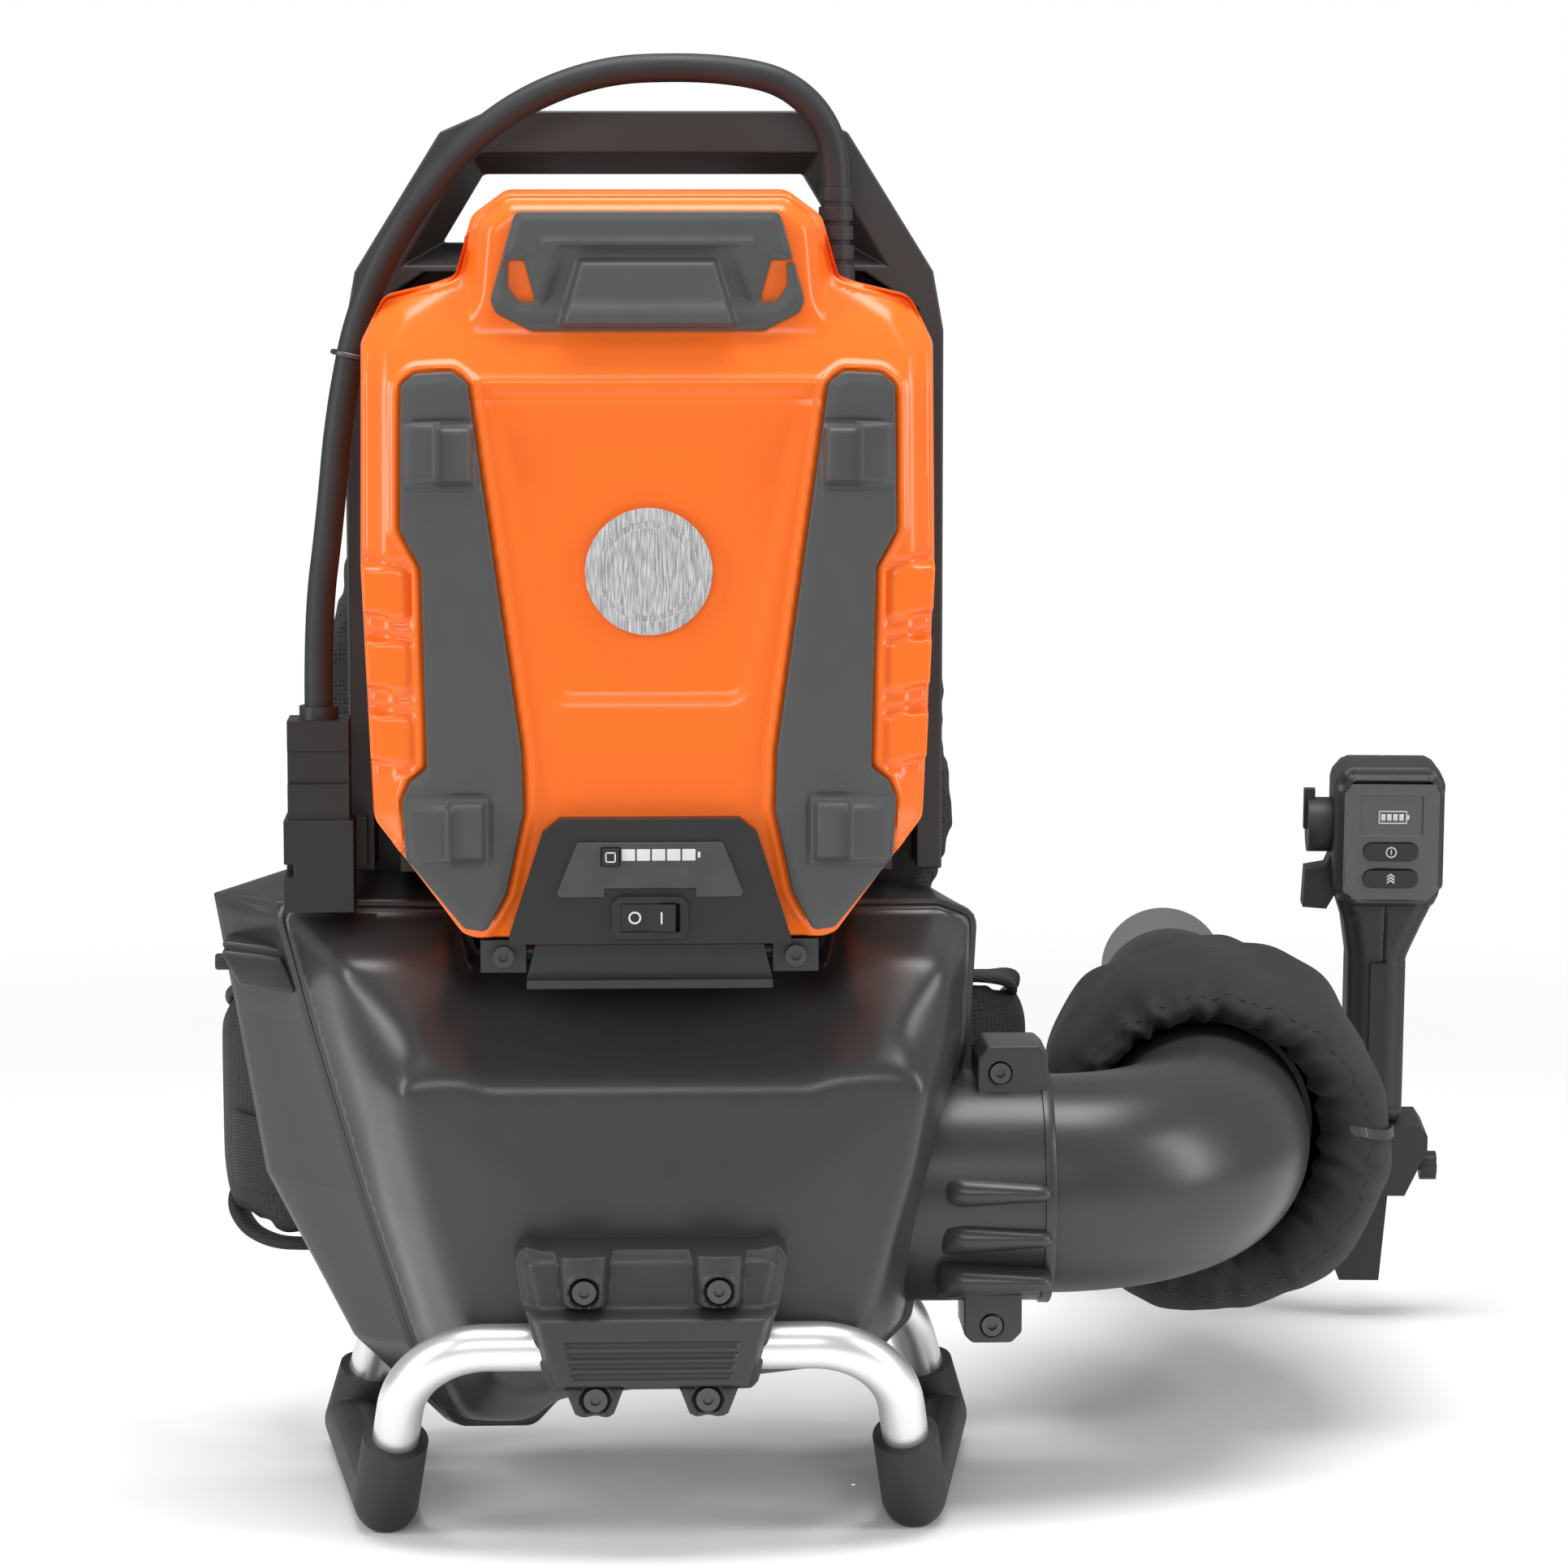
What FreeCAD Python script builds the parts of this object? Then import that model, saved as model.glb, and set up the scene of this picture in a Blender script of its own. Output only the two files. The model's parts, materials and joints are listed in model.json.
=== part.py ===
"""Battery backpack leaf blower standing on its skids. Millimetres, +Z up, the wearer's side is +Y.

The origin is on the floor, in the machine's plane of symmetry. One STEP file is written for each sub-part.
"""
import FreeCAD, Part
import math
import os

V = FreeCAD.Vector
X_AXIS, Y_AXIS, Z_AXIS = V(1, 0, 0), V(0, 1, 0), V(0, 0, 1)

# ---------------------------------------------------------------- clearances
RUNNING = 0.05          # radial gap of a shaft, pin or spigot that turns
SOFT_GAP = 0.3          # gap that keeps soft pieces and curved faces clear
BUTTON_GAP = 0.4        # gap round a button in its hole

# ---------------------------------------------------------------- driving sizes
WALL = 3.0              # moulded wall of the casings and shells

FRAME_HALF_WIDTH = 143.0
FRAME_TOP = 666.0
FRAME_BOTTOM = 112.0
PLATE_FRONT, PLATE_BACK = 52.0, 62.0
RIM_FRONT = 12.0
RIM_BOTTOM = 302.0
RIM_WIDTH = 12.0
HANDLE_OPENING = [(-97, 603), (97, 603), (77, 636), (-77, 636)]

BATTERY_BOTTOM = 287.0
BATTERY_BACK, BATTERY_SPLIT, BATTERY_FACE = -3.0, -60.0, -115.0
HUMP_BACK, HUMP_FACE = -26.0, -103.0

FAN_X, FAN_Z = -20.0, 172.0
FAN_RADIUS = 72.0
FAN_FRONT, FAN_BACK = -52.0, -8.0
INTAKE_RADIUS = 50.0
SHAFT_RADIUS = 4.0
MOTOR_RADIUS, ROTOR_RADIUS = 40.0, 23.0
CASING_SEAM, CASING_BACK, CASING_MID, CASING_FACE = 0.0, 40.0, -55.0, -98.0

OUTLET_Z = 149.0        # height of the outlet's axis, which runs along X at y = 0
ELBOW_RADIUS, DUCT_WALL = 53.0, 3.0
COLLAR_RADIUS = 56.5
COLLAR_START, COLLAR_SEAT, COLLAR_END = 120.0, 152.0, 194.0
ELBOW_BEND = 86.0
ELBOW_TURN = 87.0       # degrees from +X towards +Y
ELBOW_TAIL = 38.0
HOSE_TILT = 4.6         # degrees that the elbow is swivelled up at rest
TUBE_RADIUS, TUBE_WALL = 34.5, 2.5
TUBE_START, TUBE_END = 140.0, 365.0
SLEEVE_START, SLEEVE_END = 6.0, 262.0
HANDSET_S = 277.0       # place of the handset along the tube
GRIP_U = 112.0          # distance of the grip's middle from the tube's axis

BOW_RADIUS = 11.0       # leg tube
FOOT_RADIUS = 15.5
SOLE_CUT = 1.5
FRONT_BAR = V(0, -117, 97)
REAR_BAR = V(0, 57, 90)
BOW_BEND = 42.0
SOCKET_DEPTH = 22.0

CABLE_RADIUS = 6.75


# ---------------------------------------------------------------- helpers
def box(x0, x1, y0, y1, z0, z1):
    """Block between two corners."""
    return Part.makeBox(x1 - x0, y1 - y0, z1 - z0, V(x0, y0, z0))


def rod(start, direction, radius, length):
    """Round bar from a point along a direction."""
    return Part.makeCylinder(radius, length, V(*start), V(*direction))


def ring(start, direction, outer, inner, length):
    """Round tube from a point along a direction."""
    return rod(start, direction, outer, length).cut(rod(start, direction, inner, length))


def outline(points, y):
    """Closed wire through (x, z) points at a depth y."""
    corners = [V(x, y, z) for x, z in points]
    return Part.makePolygon(corners + corners[:1])


def plate(points, y0, y1):
    """Slab with an (x, z) outline between two depths."""
    return Part.Face(outline(points, y0)).extrude(V(0, y1 - y0, 0))


def loft(sections):
    """Solid ruled between (y, points) outlines with the same number of points."""
    return Part.makeLoft([outline(points, y) for y, points in sections], True, True)


def mirrored(half):
    """Closed symmetric outline from its right half, listed from top to bottom."""
    return half + [(-x, z) for x, z in reversed(half)]


def flipped(shape):
    """The same piece on the other side of the symmetry plane."""
    return shape.mirror(V(0, 0, 0), X_AXIS)


def inset(points, gap):
    """Outline moved inwards by a gap along every edge."""
    area = sum(a[0] * b[1] - b[0] * a[1] for a, b in zip(points, points[1:] + points[:1]))
    side = 1 if area > 0 else -1
    count, moved = len(points), []
    for i, (x, z) in enumerate(points):
        (px, pz), (nx, nz) = points[i - 1], points[(i + 1) % count]
        a = math.atan2(z - pz, x - px)
        b = math.atan2(nz - z, nx - x)
        turn = (b - a + math.pi) % (2 * math.pi) - math.pi
        reach = gap / math.cos(turn / 2)
        normal = (a + turn / 2) + side * math.pi / 2
        moved.append((x + reach * math.cos(normal), z + reach * math.sin(normal)))
    return moved


def rounded_path(points, radii):
    """Wire of straight runs through points, with an arc of the given radius at each inner point."""
    edges, start = [], points[0]
    for before, corner, after, radius in zip(points, points[1:], points[2:], radii):
        back, ahead = (before - corner).normalize(), (after - corner).normalize()
        half = back.getAngle(ahead) / 2
        cut = radius / math.tan(half)
        first, last = corner + back * cut, corner + ahead * cut
        middle = (back + ahead).normalize()
        apex = corner + middle * (radius / math.sin(half) - radius)
        edges += [Part.LineSegment(start, first).toShape(), Part.Arc(first, apex, last).toShape()]
        start = last
    edges.append(Part.LineSegment(start, points[-1]).toShape())
    return Part.Wire(edges)


def swept(path, radius):
    """Round solid along a wire."""
    first = path.OrderedEdges[0]
    start = first.valueAt(first.FirstParameter)
    away = first.tangentAt(first.FirstParameter)
    profile = Part.Wire(Part.Circle(start, away, radius).toShape())
    return path.makePipeShell([profile], True, False)


def widest_radii(points):
    """The largest comfortable arc at each inner point: 0.45 of the shorter run."""
    radii = []
    for before, corner, after in zip(points, points[1:], points[2:]):
        turn = math.pi - (before - corner).getAngle(after - corner)
        shorter = min((before - corner).Length, (after - corner).Length)
        radii.append(0.45 * shorter / math.tan(turn / 2))
    return radii


def band(stations, width, thickness):
    """Flat strap through (x, y, z, width share) stations, with its width across the run."""
    wires = []
    for i, (x, y, z, share) in enumerate(stations):
        before = stations[max(i - 1, 0)]
        after = stations[min(i + 1, len(stations) - 1)]
        run = V(after[0] - before[0], after[1] - before[1], after[2] - before[2]).normalize()
        across = V(1, 0, 0) - run * run.x
        across.normalize()
        out = run.cross(across)
        w, t = across * (width * share / 2), out * (thickness / 2)
        centre = V(x, y, z)
        corners = [centre - w - t, centre + w - t, centre + w + t, centre - w + t]
        wires.append(Part.makePolygon(corners + corners[:1]))
    return Part.makeLoft(wires, True, True)


def standing_pad(stations, thickness):
    """Upright pad through (x, y, low z, high z) stations."""
    wires = []
    for i, (x, y, low, high) in enumerate(stations):
        before = stations[max(i - 1, 0)]
        after = stations[min(i + 1, len(stations) - 1)]
        run = V(after[0] - before[0], after[1] - before[1], 0).normalize()
        out = V(-run.y, run.x, 0) * (thickness / 2)
        corners = [V(x, y, low) - out, V(x, y, low) + out, V(x, y, high) + out, V(x, y, high) - out]
        wires.append(Part.makePolygon(corners + corners[:1]))
    return Part.makeLoft(wires, True, True)


def screw(head, direction, head_radius, head_height, shank_radius, shank_length):
    """Cap screw: its head starts at a point, its shank runs along the direction."""
    d = V(*direction)
    p = V(*head)
    body = rod(p, d, head_radius, head_height).fuse(rod(p + d * head_height, d, shank_radius, shank_length))
    socket = Part.makeCylinder(head_radius * 0.45, head_height * 0.6, p, d)
    return body.cut(socket)


def in_hose_frame(shape):
    """Moves a piece from the hose's own frame, whose axis is +Y from the elbow's end, to its place."""
    turn = math.radians(ELBOW_TURN)
    end = V(COLLAR_END + ELBOW_BEND * math.sin(turn), ELBOW_BEND * (1 - math.cos(turn)), OUTLET_Z)
    placed = shape.copy()
    placed.rotate(V(0, 0, 0), Z_AXIS, ELBOW_TURN - 90)
    placed.translate(end)
    placed.rotate(V(0, 0, OUTLET_Z), X_AXIS, HOSE_TILT)
    return placed


def turned(profile):
    """Solid of revolution about +Y from (distance along Y, radius) points."""
    corners = [V(0, s, r) for s, r in profile]
    return Part.Face(Part.makePolygon(corners + corners[:1])).revolve(V(0, 0, 0), Y_AXIS, 360)


def save(**pieces):
    """Writes each named piece to its STEP file."""
    for name, shape in pieces.items():
        shape.exportStep("parts/%s.step" % name)


# ---------------------------------------------------------------- back frame and harness
FRAME_OUTLINE = mirrored([(74, FRAME_TOP), (97, 656), (138, 590), (FRAME_HALF_WIDTH, 562),
                          (FRAME_HALF_WIDTH, RIM_BOTTOM), (110, 264), (104, FRAME_BOTTOM)])
RIM_OUTLINE = FRAME_OUTLINE[:5] + FRAME_OUTLINE[-5:]
ISOLATOR_PLACES = [(-84, 232), (84, 232), (-84, 128), (84, 128)]
DOCK_SCREWS = [(-123, 586), (123, 586), (-123, 312), (123, 312)]
REAR_CLAMP_X = 72.0


def back_frame():
    """Moulded back plate with a deep rim round the battery and a carry handle on top."""
    body = plate(FRAME_OUTLINE, PLATE_FRONT, PLATE_BACK).fuse(plate(RIM_OUTLINE, RIM_FRONT, PLATE_FRONT))
    pocket_half = FRAME_HALF_WIDTH - RIM_WIDTH
    pocket = mirrored([(104, 590), (pocket_half, 572), (pocket_half, RIM_BOTTOM - 1)])
    body = body.cut(plate(pocket, RIM_FRONT - 1, PLATE_FRONT))
    body = body.cut(plate(HANDLE_OPENING, RIM_FRONT - 1, PLATE_BACK + 1))
    flare = loft([(RIM_FRONT - 1, inset(HANDLE_OPENING, -11)), (RIM_FRONT + 20, HANDLE_OPENING)])
    body = body.cut(flare)
    for x, z in ISOLATOR_PLACES:
        body = body.cut(rod((x, PLATE_FRONT - 1, z), (0, 1, 0), 4.1, 12))
    return body.removeSplitter()


DOCK_FRONT = BATTERY_BACK
SHELF_HALF, SHELF_TOP, SHELF_FRONT = 78.0, BATTERY_BOTTOM, -98.0
EAR_FRONT, EAR_INNER = -106.0, 57.0
CATCH_PIN_Y, CATCH_PIN_Z, CATCH_PIN_RADIUS = -102.0, 281.0, 2.0


def battery_dock():
    """Pan behind the battery with the shelf that it stands on and two screw ears at the shelf's front."""
    upper = box(-118, 118, DOCK_FRONT, PLATE_FRONT, RIM_BOTTOM + 2, 580)
    lower = box(-SHELF_HALF, SHELF_HALF, DOCK_FRONT, PLATE_FRONT, 268, RIM_BOTTOM + 2)
    hollow = box(-114, 114, DOCK_FRONT + 4, PLATE_FRONT, RIM_BOTTOM + 6, 576)
    hollow = hollow.fuse(box(-74, 74, DOCK_FRONT + 4, PLATE_FRONT, 272, RIM_BOTTOM + 6))
    shelf = box(-SHELF_HALF, SHELF_HALF, SHELF_FRONT, DOCK_FRONT, 276, SHELF_TOP)
    body = upper.fuse(lower).cut(hollow).fuse(shelf)
    for side in (-1, 1):
        low, high = sorted((side * EAR_INNER, side * SHELF_HALF))
        body = body.fuse(box(low, high, EAR_FRONT, SHELF_FRONT, 271, 286))
        centre = side * (EAR_INNER + SHELF_HALF) / 2
        body = body.cut(rod((centre, EAR_FRONT - 1, 278.5), (0, 1, 0), 3.0, 20))
    pin_length = 2 * EAR_INNER + 12
    body = body.cut(rod((-pin_length / 2, CATCH_PIN_Y, CATCH_PIN_Z), (1, 0, 0), CATCH_PIN_RADIUS + RUNNING,
                        pin_length))
    return body.removeSplitter()


def battery_catch():
    """Spring latch plate under the battery, with a lip to pull and a pin in the shelf's ears."""
    half = EAR_INNER - SOFT_GAP
    body = plate([(-half + 4, 283.6), (half - 4, 283.6), (half, 268), (-half, 268)], -106, -99)
    body = body.fuse(plate([(-half, 268), (half, 268), (half, 264), (-half, 264)], -111, -99))
    reach = half + 5
    return body.fuse(rod((-reach, CATCH_PIN_Y, CATCH_PIN_Z), (1, 0, 0), CATCH_PIN_RADIUS, 2 * reach))


PAD_FRONT = PLATE_BACK + SOFT_GAP


def back_pad():
    """Foam pad between the frame and the wearer's back."""
    shape = mirrored([(80, 585), (104, 560), (104, 290), (88, 262)])
    return loft([(PAD_FRONT, shape), (PAD_FRONT + 14, inset(shape, 2)), (PAD_FRONT + 20, inset(shape, 12))])


def lumbar_pad():
    """Lower pad that carries the two hip belt wings."""
    shape = mirrored([(52, 250), (60, 240), (60, 124), (52, 116)])
    return loft([(PAD_FRONT, shape), (PAD_FRONT + 16, inset(shape, 2)), (PAD_FRONT + 24, inset(shape, 14))])


STRAP_WIDTH, STRAP_THICKNESS = 54.0, 11.0
LEFT_STRAP = [(-60, 66.8, 598, 0.7), (-62, 96, 611, 0.9), (-72, 124, 584, 1), (-116, 142, 490, 1),
              (-141, 128, 378, 1), (-151, 104, 308, 0.9), (-146, 90, 276, 0.6), (-100, 69, 246, 0.45)]
RIGHT_STRAP = [(60, 66.8, 598, 0.7), (62, 96, 611, 0.9), (72, 124, 584, 1), (112, 142, 490, 1),
               (130, 128, 378, 1), (134, 104, 308, 0.9), (130, 90, 276, 0.6), (98, 69, 246, 0.45)]


def shoulder_strap(stations):
    """One padded strap, its two ends cut flat against the frame's back."""
    return band(stations, STRAP_WIDTH, STRAP_THICKNESS).cut(box(-250, 250, 0, PLATE_BACK + RUNNING, 200, 700))


WING_THICKNESS = 13.0
LEFT_WING = [(-57.8, 84, 124, 232), (-128, 92, 106, 235), (-183, 98, 102, 235), (-207, 124, 112, 228),
             (-204, 164, 126, 212)]
RIGHT_WING = [(57.8, 84, 124, 232), (126, 92, 106, 235), (168, 100, 102, 235), (188, 122, 112, 228),
              (184, 160, 126, 212)]

# ---------------------------------------------------------------- fan casing
POCKET_HALF = 84.0      # half width of the hollow that the battery shelf sits over
CASING_SECTIONS = {
    CASING_BACK: [(-211, 288), (-174, 300), (-98, 298), (-92, 262), (92, 262), (98, 296), (137, 290), (160, 276),
                  (156, 226), (127, 82), (110, 62), (-44, 42), (-58, 25), (-98, 24), (-145, 68), (-187, 150),
                  (-201, 232)],
    CASING_SEAM: [(-176, 287), (-150, 287), (-92, 286), (-84, 262), (84, 262), (92, 286), (140, 286), (156, 280),
                  (153, 225), (125, 84), (107, 66), (-43, 49), (-57, 34), (-92, 34), (-114, 74), (-137, 147),
                  (-161, 230)],
    CASING_MID: [(-150, 270), (-130, 272), (-88, 271), (-80, 256), (80, 256), (88, 271), (132, 271), (146, 266),
                 (145, 225), (116, 88), (100, 72), (-42, 56), (-56, 46), (-84, 46), (-102, 82), (-124, 146),
                 (-144, 232)],
    CASING_FACE: [(-118, 216), (-110, 219), (-84, 220), (-78, 216), (78, 216), (84, 220), (120, 222), (132, 216),
                  (126, 178), (101, 102), (90, 88), (-40, 72), (-54, 70), (-72, 76), (-86, 100), (-101, 146),
                  (-114, 196)],
}
COLLAR_HOLE = rod((90, 0, OUTLET_Z), (1, 0, 0), COLLAR_RADIUS + RUNNING, 130)


def casing_loft(depths, gap, ends):
    """Ruled body through the named sections, moved in by a gap, with its outer ends moved by small steps."""
    return loft([(y + step, inset(CASING_SECTIONS[y], gap)) for y, step in zip(depths, ends)])


def fan_casing_front():
    """Front half of the fan casing: a hollow moulding, open at the seam."""
    depths = (CASING_SEAM, CASING_MID, CASING_FACE)
    body = casing_loft(depths, 0, (0, 0, 0)).cut(casing_loft(depths, WALL, (0, 0, WALL)))
    return body.cut(COLLAR_HOLE).cut(box(-47, 47, -105, -80, 60, 67))


def fan_casing_rear():
    """Rear half of the fan casing with the intake bell."""
    depths = (CASING_SEAM, CASING_BACK)
    outer = loft([(CASING_SEAM, inset(CASING_SECTIONS[CASING_SEAM], -2)), (CASING_BACK, CASING_SECTIONS[CASING_BACK])])
    body = outer.cut(casing_loft(depths, WALL, (0, -WALL)))
    body = body.cut(rod((FAN_X, 30, FAN_Z), (0, 1, 0), INTAKE_RADIUS - WALL, 12))
    bell = ring((FAN_X, FAN_BACK + 5, FAN_Z), (0, 1, 0), INTAKE_RADIUS, INTAKE_RADIUS - WALL, CASING_BACK - FAN_BACK - 5)
    return body.fuse(bell).cut(COLLAR_HOLE)


def intake_grille():
    """Round finger guard over the intake, on the casing's back."""
    centre = (FAN_X, CASING_BACK, FAN_Z)
    body = ring(centre, (0, 1, 0), INTAKE_RADIUS + 6, INTAKE_RADIUS - 6, 3)
    for radius in (30, 16):
        body = body.fuse(ring(centre, (0, 1, 0), radius + 1.5, radius - 1.5, 3))
    for k in range(3):
        spoke = box(-INTAKE_RADIUS - 2, INTAKE_RADIUS + 2, 0, 3, -1.5, 1.5)
        spoke.rotate(V(0, 0, 0), Y_AXIS, 60 * k)
        spoke.translate(V(*centre))
        body = body.fuse(spoke)
    return body.fuse(rod(centre, (0, 1, 0), 7, 3))


def frame_isolators():
    """Rubber buffers that join the casing's back to the frame plate."""
    length = PLATE_FRONT - CASING_BACK
    buffers = []
    for x, z in ISOLATOR_PLACES:
        buffers.append(rod((x, CASING_BACK, z), (0, 1, 0), 9, length).fuse(
            rod((x, PLATE_FRONT, z), (0, 1, 0), 4, PLATE_BACK - PLATE_FRONT)))
    return Part.makeCompound(buffers)


LUG_FRONT = -26.0
TOP_LUG_SCREW, BOTTOM_LUG_SCREW = (169, 208), (165.5, 84.5)


def outlet_collar():
    """Clamping collar on the casing's outlet, with three tapered ribs and two screw lugs."""
    body = rod((COLLAR_START, 0, OUTLET_Z), (1, 0, 0), COLLAR_RADIUS, COLLAR_END - COLLAR_START)
    body = body.fuse(box(158, 192, LUG_FRONT, 14, 190, 221))
    body = body.fuse(box(152, 180, LUG_FRONT, 10, 78, 108))
    for offset in (5, -16, -36):
        front = -COLLAR_RADIUS - 3
        wires = []
        for x, half in ((162, 5.5), (191, 3.0)):
            z = OUTLET_Z + offset
            corners = [V(x, front, z - half), V(x, front, z + half), V(x, -38, z + half + 1.5), V(x, -38, z - half - 1.5)]
            wires.append(Part.makePolygon(corners + corners[:1]))
        body = body.fuse(Part.makeLoft(wires, True, True))
    body = body.cut(rod((COLLAR_START - 1, 0, OUTLET_Z), (1, 0, 0), ELBOW_RADIUS - DUCT_WALL, 100))
    body = body.cut(rod((COLLAR_SEAT, 0, OUTLET_Z), (1, 0, 0), ELBOW_RADIUS + RUNNING, 100))
    for x, z in (TOP_LUG_SCREW, BOTTOM_LUG_SCREW):
        body = body.cut(rod((x, LUG_FRONT - 1, z), (0, 1, 0), 5.1, 4)).cut(rod((x, LUG_FRONT, z), (0, 1, 0), 2.6, 22))
    return body


# ---------------------------------------------------------------- motor and impeller
def motor_mount():
    """Motor can with its bearing seat, and the end cap with the other seat."""
    back = CASING_FACE + WALL
    can = ring((FAN_X, back, FAN_Z), (0, 1, 0), MOTOR_RADIUS, MOTOR_RADIUS - 4, 35)
    floor = ring((FAN_X, back, FAN_Z), (0, 1, 0), MOTOR_RADIUS - 4, 9 + RUNNING, 6)
    cap = ring((FAN_X, back + 35, FAN_Z), (0, 1, 0), MOTOR_RADIUS, 9 + RUNNING, 4)
    return Part.makeCompound([can.fuse(floor), cap])


def motor_bearings():
    """Ball bearings at both ends of the motor shaft, drawn as rings."""
    back = CASING_FACE + WALL
    return Part.makeCompound([ring((FAN_X, y, FAN_Z), (0, 1, 0), 9, SHAFT_RADIUS + RUNNING, w)
                              for y, w in ((back, 6), (back + 35, 4))])


def motor_stator():
    """Wound stator core."""
    body = ring((FAN_X, CASING_FACE + WALL + 8, FAN_Z), (0, 1, 0), MOTOR_RADIUS - 4, ROTOR_RADIUS + 1, 24)
    for k in range(12):
        slot = box(-2, 2, 0, 24, ROTOR_RADIUS, MOTOR_RADIUS - 9)
        slot.rotate(V(0, 0, 0), Y_AXIS, 30 * k)
        slot.translate(V(FAN_X, CASING_FACE + WALL + 8, FAN_Z))
        body = body.cut(slot)
    return body


def motor_shaft():
    """Shaft with the magnet rotor, and the nut on its end."""
    start = CASING_FACE + WALL + 1
    shaft = rod((FAN_X, start, FAN_Z), (0, 1, 0), SHAFT_RADIUS, -1 - start)
    return Part.makeCompound([shaft.fuse(rod((FAN_X, start + 8, FAN_Z), (0, 1, 0), ROTOR_RADIUS, 22)), impeller_nut()])


def impeller():
    """Radial impeller: hub, back disc, swept blades and a shroud ring on the intake side."""
    centre = V(FAN_X, FAN_FRONT, FAN_Z)
    height = FAN_BACK - FAN_FRONT
    body = rod(centre, (0, 1, 0), FAN_RADIUS, 3).fuse(rod(centre, (0, 1, 0), 14, height - 4))
    body = body.fuse(ring(centre + V(0, height - 3, 0), (0, 1, 0), FAN_RADIUS, 46, 3))
    for k in range(11):
        blade = box(0, 42, 0, height, -1.3, 1.3)
        blade.rotate(V(0, 0, 0), Y_AXIS, 38)
        blade.translate(V(34, 0, 8))
        blade = blade.common(rod((0, 0, 0), (0, 1, 0), FAN_RADIUS, height))
        blade.rotate(V(0, 0, 0), Y_AXIS, 360 / 11 * k)
        blade.translate(centre)
        body = body.fuse(blade)
    return body.cut(rod(centre - V(0, 1, 0), (0, 1, 0), SHAFT_RADIUS + 0.02, height + 2))


def impeller_nut():
    """Hexagon nut on the shaft's end."""
    hexagon = [(FAN_X + 8 * math.cos(math.radians(60 * k)), FAN_Z + 8 * math.sin(math.radians(60 * k)))
               for k in range(6)]
    nut = plate(hexagon, FAN_BACK - 4, FAN_BACK + 3)
    return nut.cut(rod((FAN_X, FAN_BACK - 5, FAN_Z), (0, 1, 0), SHAFT_RADIUS + 0.02, 10))


def motor_controller():
    """Finned drive unit on the inside of the casing's face."""
    back = CASING_FACE + WALL
    body = box(40, 84, back, back + 14, 112, 160)
    for k in range(6):
        body = body.cut(box(43 + 7 * k, 46 + 7 * k, back + 6, back + 15, 111, 161))
    return body


# ---------------------------------------------------------------- legs
def foot_points(side):
    """Mouth and floor corners of a skid: front mouth, front corner, rear corner, rear mouth."""
    floor = FOOT_RADIUS - SOLE_CUT
    front_mouth = V(side * 119.6, -92, 48.5)
    front_top = V(side * 112, FRONT_BAR.y, FRONT_BAR.z)
    rear_mouth = V(side * 138, 74, 42)
    rear_top = V(side * 124, REAR_BAR.y, REAR_BAR.z)
    front_run = (front_mouth - front_top).normalize()
    rear_run = (rear_mouth - rear_top).normalize()
    front_corner = front_mouth + front_run * ((front_mouth.z - floor) / -front_run.z)
    rear_corner = rear_mouth + rear_run * ((rear_mouth.z - floor) / -rear_run.z)
    return front_top, front_mouth, front_corner, rear_corner, rear_mouth, rear_top


def foot(side):
    """Plastic skid that joins the front and rear bows: round bars with ball corners and a flat sole."""
    _, front_mouth, front_corner, rear_corner, rear_mouth, _ = foot_points(side)
    body = None
    for a, b in ((front_mouth, front_corner), (front_corner, rear_corner), (rear_corner, rear_mouth)):
        bar = Part.makeCylinder(FOOT_RADIUS, (b - a).Length, a, b - a)
        body = bar if body is None else body.fuse(bar)
    for corner in (front_corner, rear_corner):
        body = body.fuse(Part.makeSphere(FOOT_RADIUS, corner))
    body = body.cut(box(-250, 250, -200, 200, -50, 0))
    for mouth, corner in ((front_mouth, front_corner), (rear_mouth, rear_corner)):
        inward = (corner - mouth).normalize()
        body = body.cut(Part.makeCylinder(BOW_RADIUS + RUNNING, SOCKET_DEPTH + 1, mouth, inward))
    return body


def leg_bow(bar, top_index, mouth_index):
    """Bent tube: a bar across the machine with both ends turned down into the skids."""
    left, right = foot_points(-1), foot_points(1)
    ends = []
    for points in (left, right):
        inward = (points[mouth_index] - points[top_index]).normalize()
        ends.append(points[mouth_index] + inward * SOCKET_DEPTH)
    path = rounded_path([ends[0], left[top_index], right[top_index], ends[1]], [BOW_BEND, BOW_BEND])
    return swept(path, BOW_RADIUS).cut(swept(path, BOW_RADIUS - 1.6))


BRACKET_TOP_SCREWS = [(-31, 127), (31, 127)]
BRACKET_LOW_SCREWS = [(-26, 74.5), (26, 74.5)]


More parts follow.
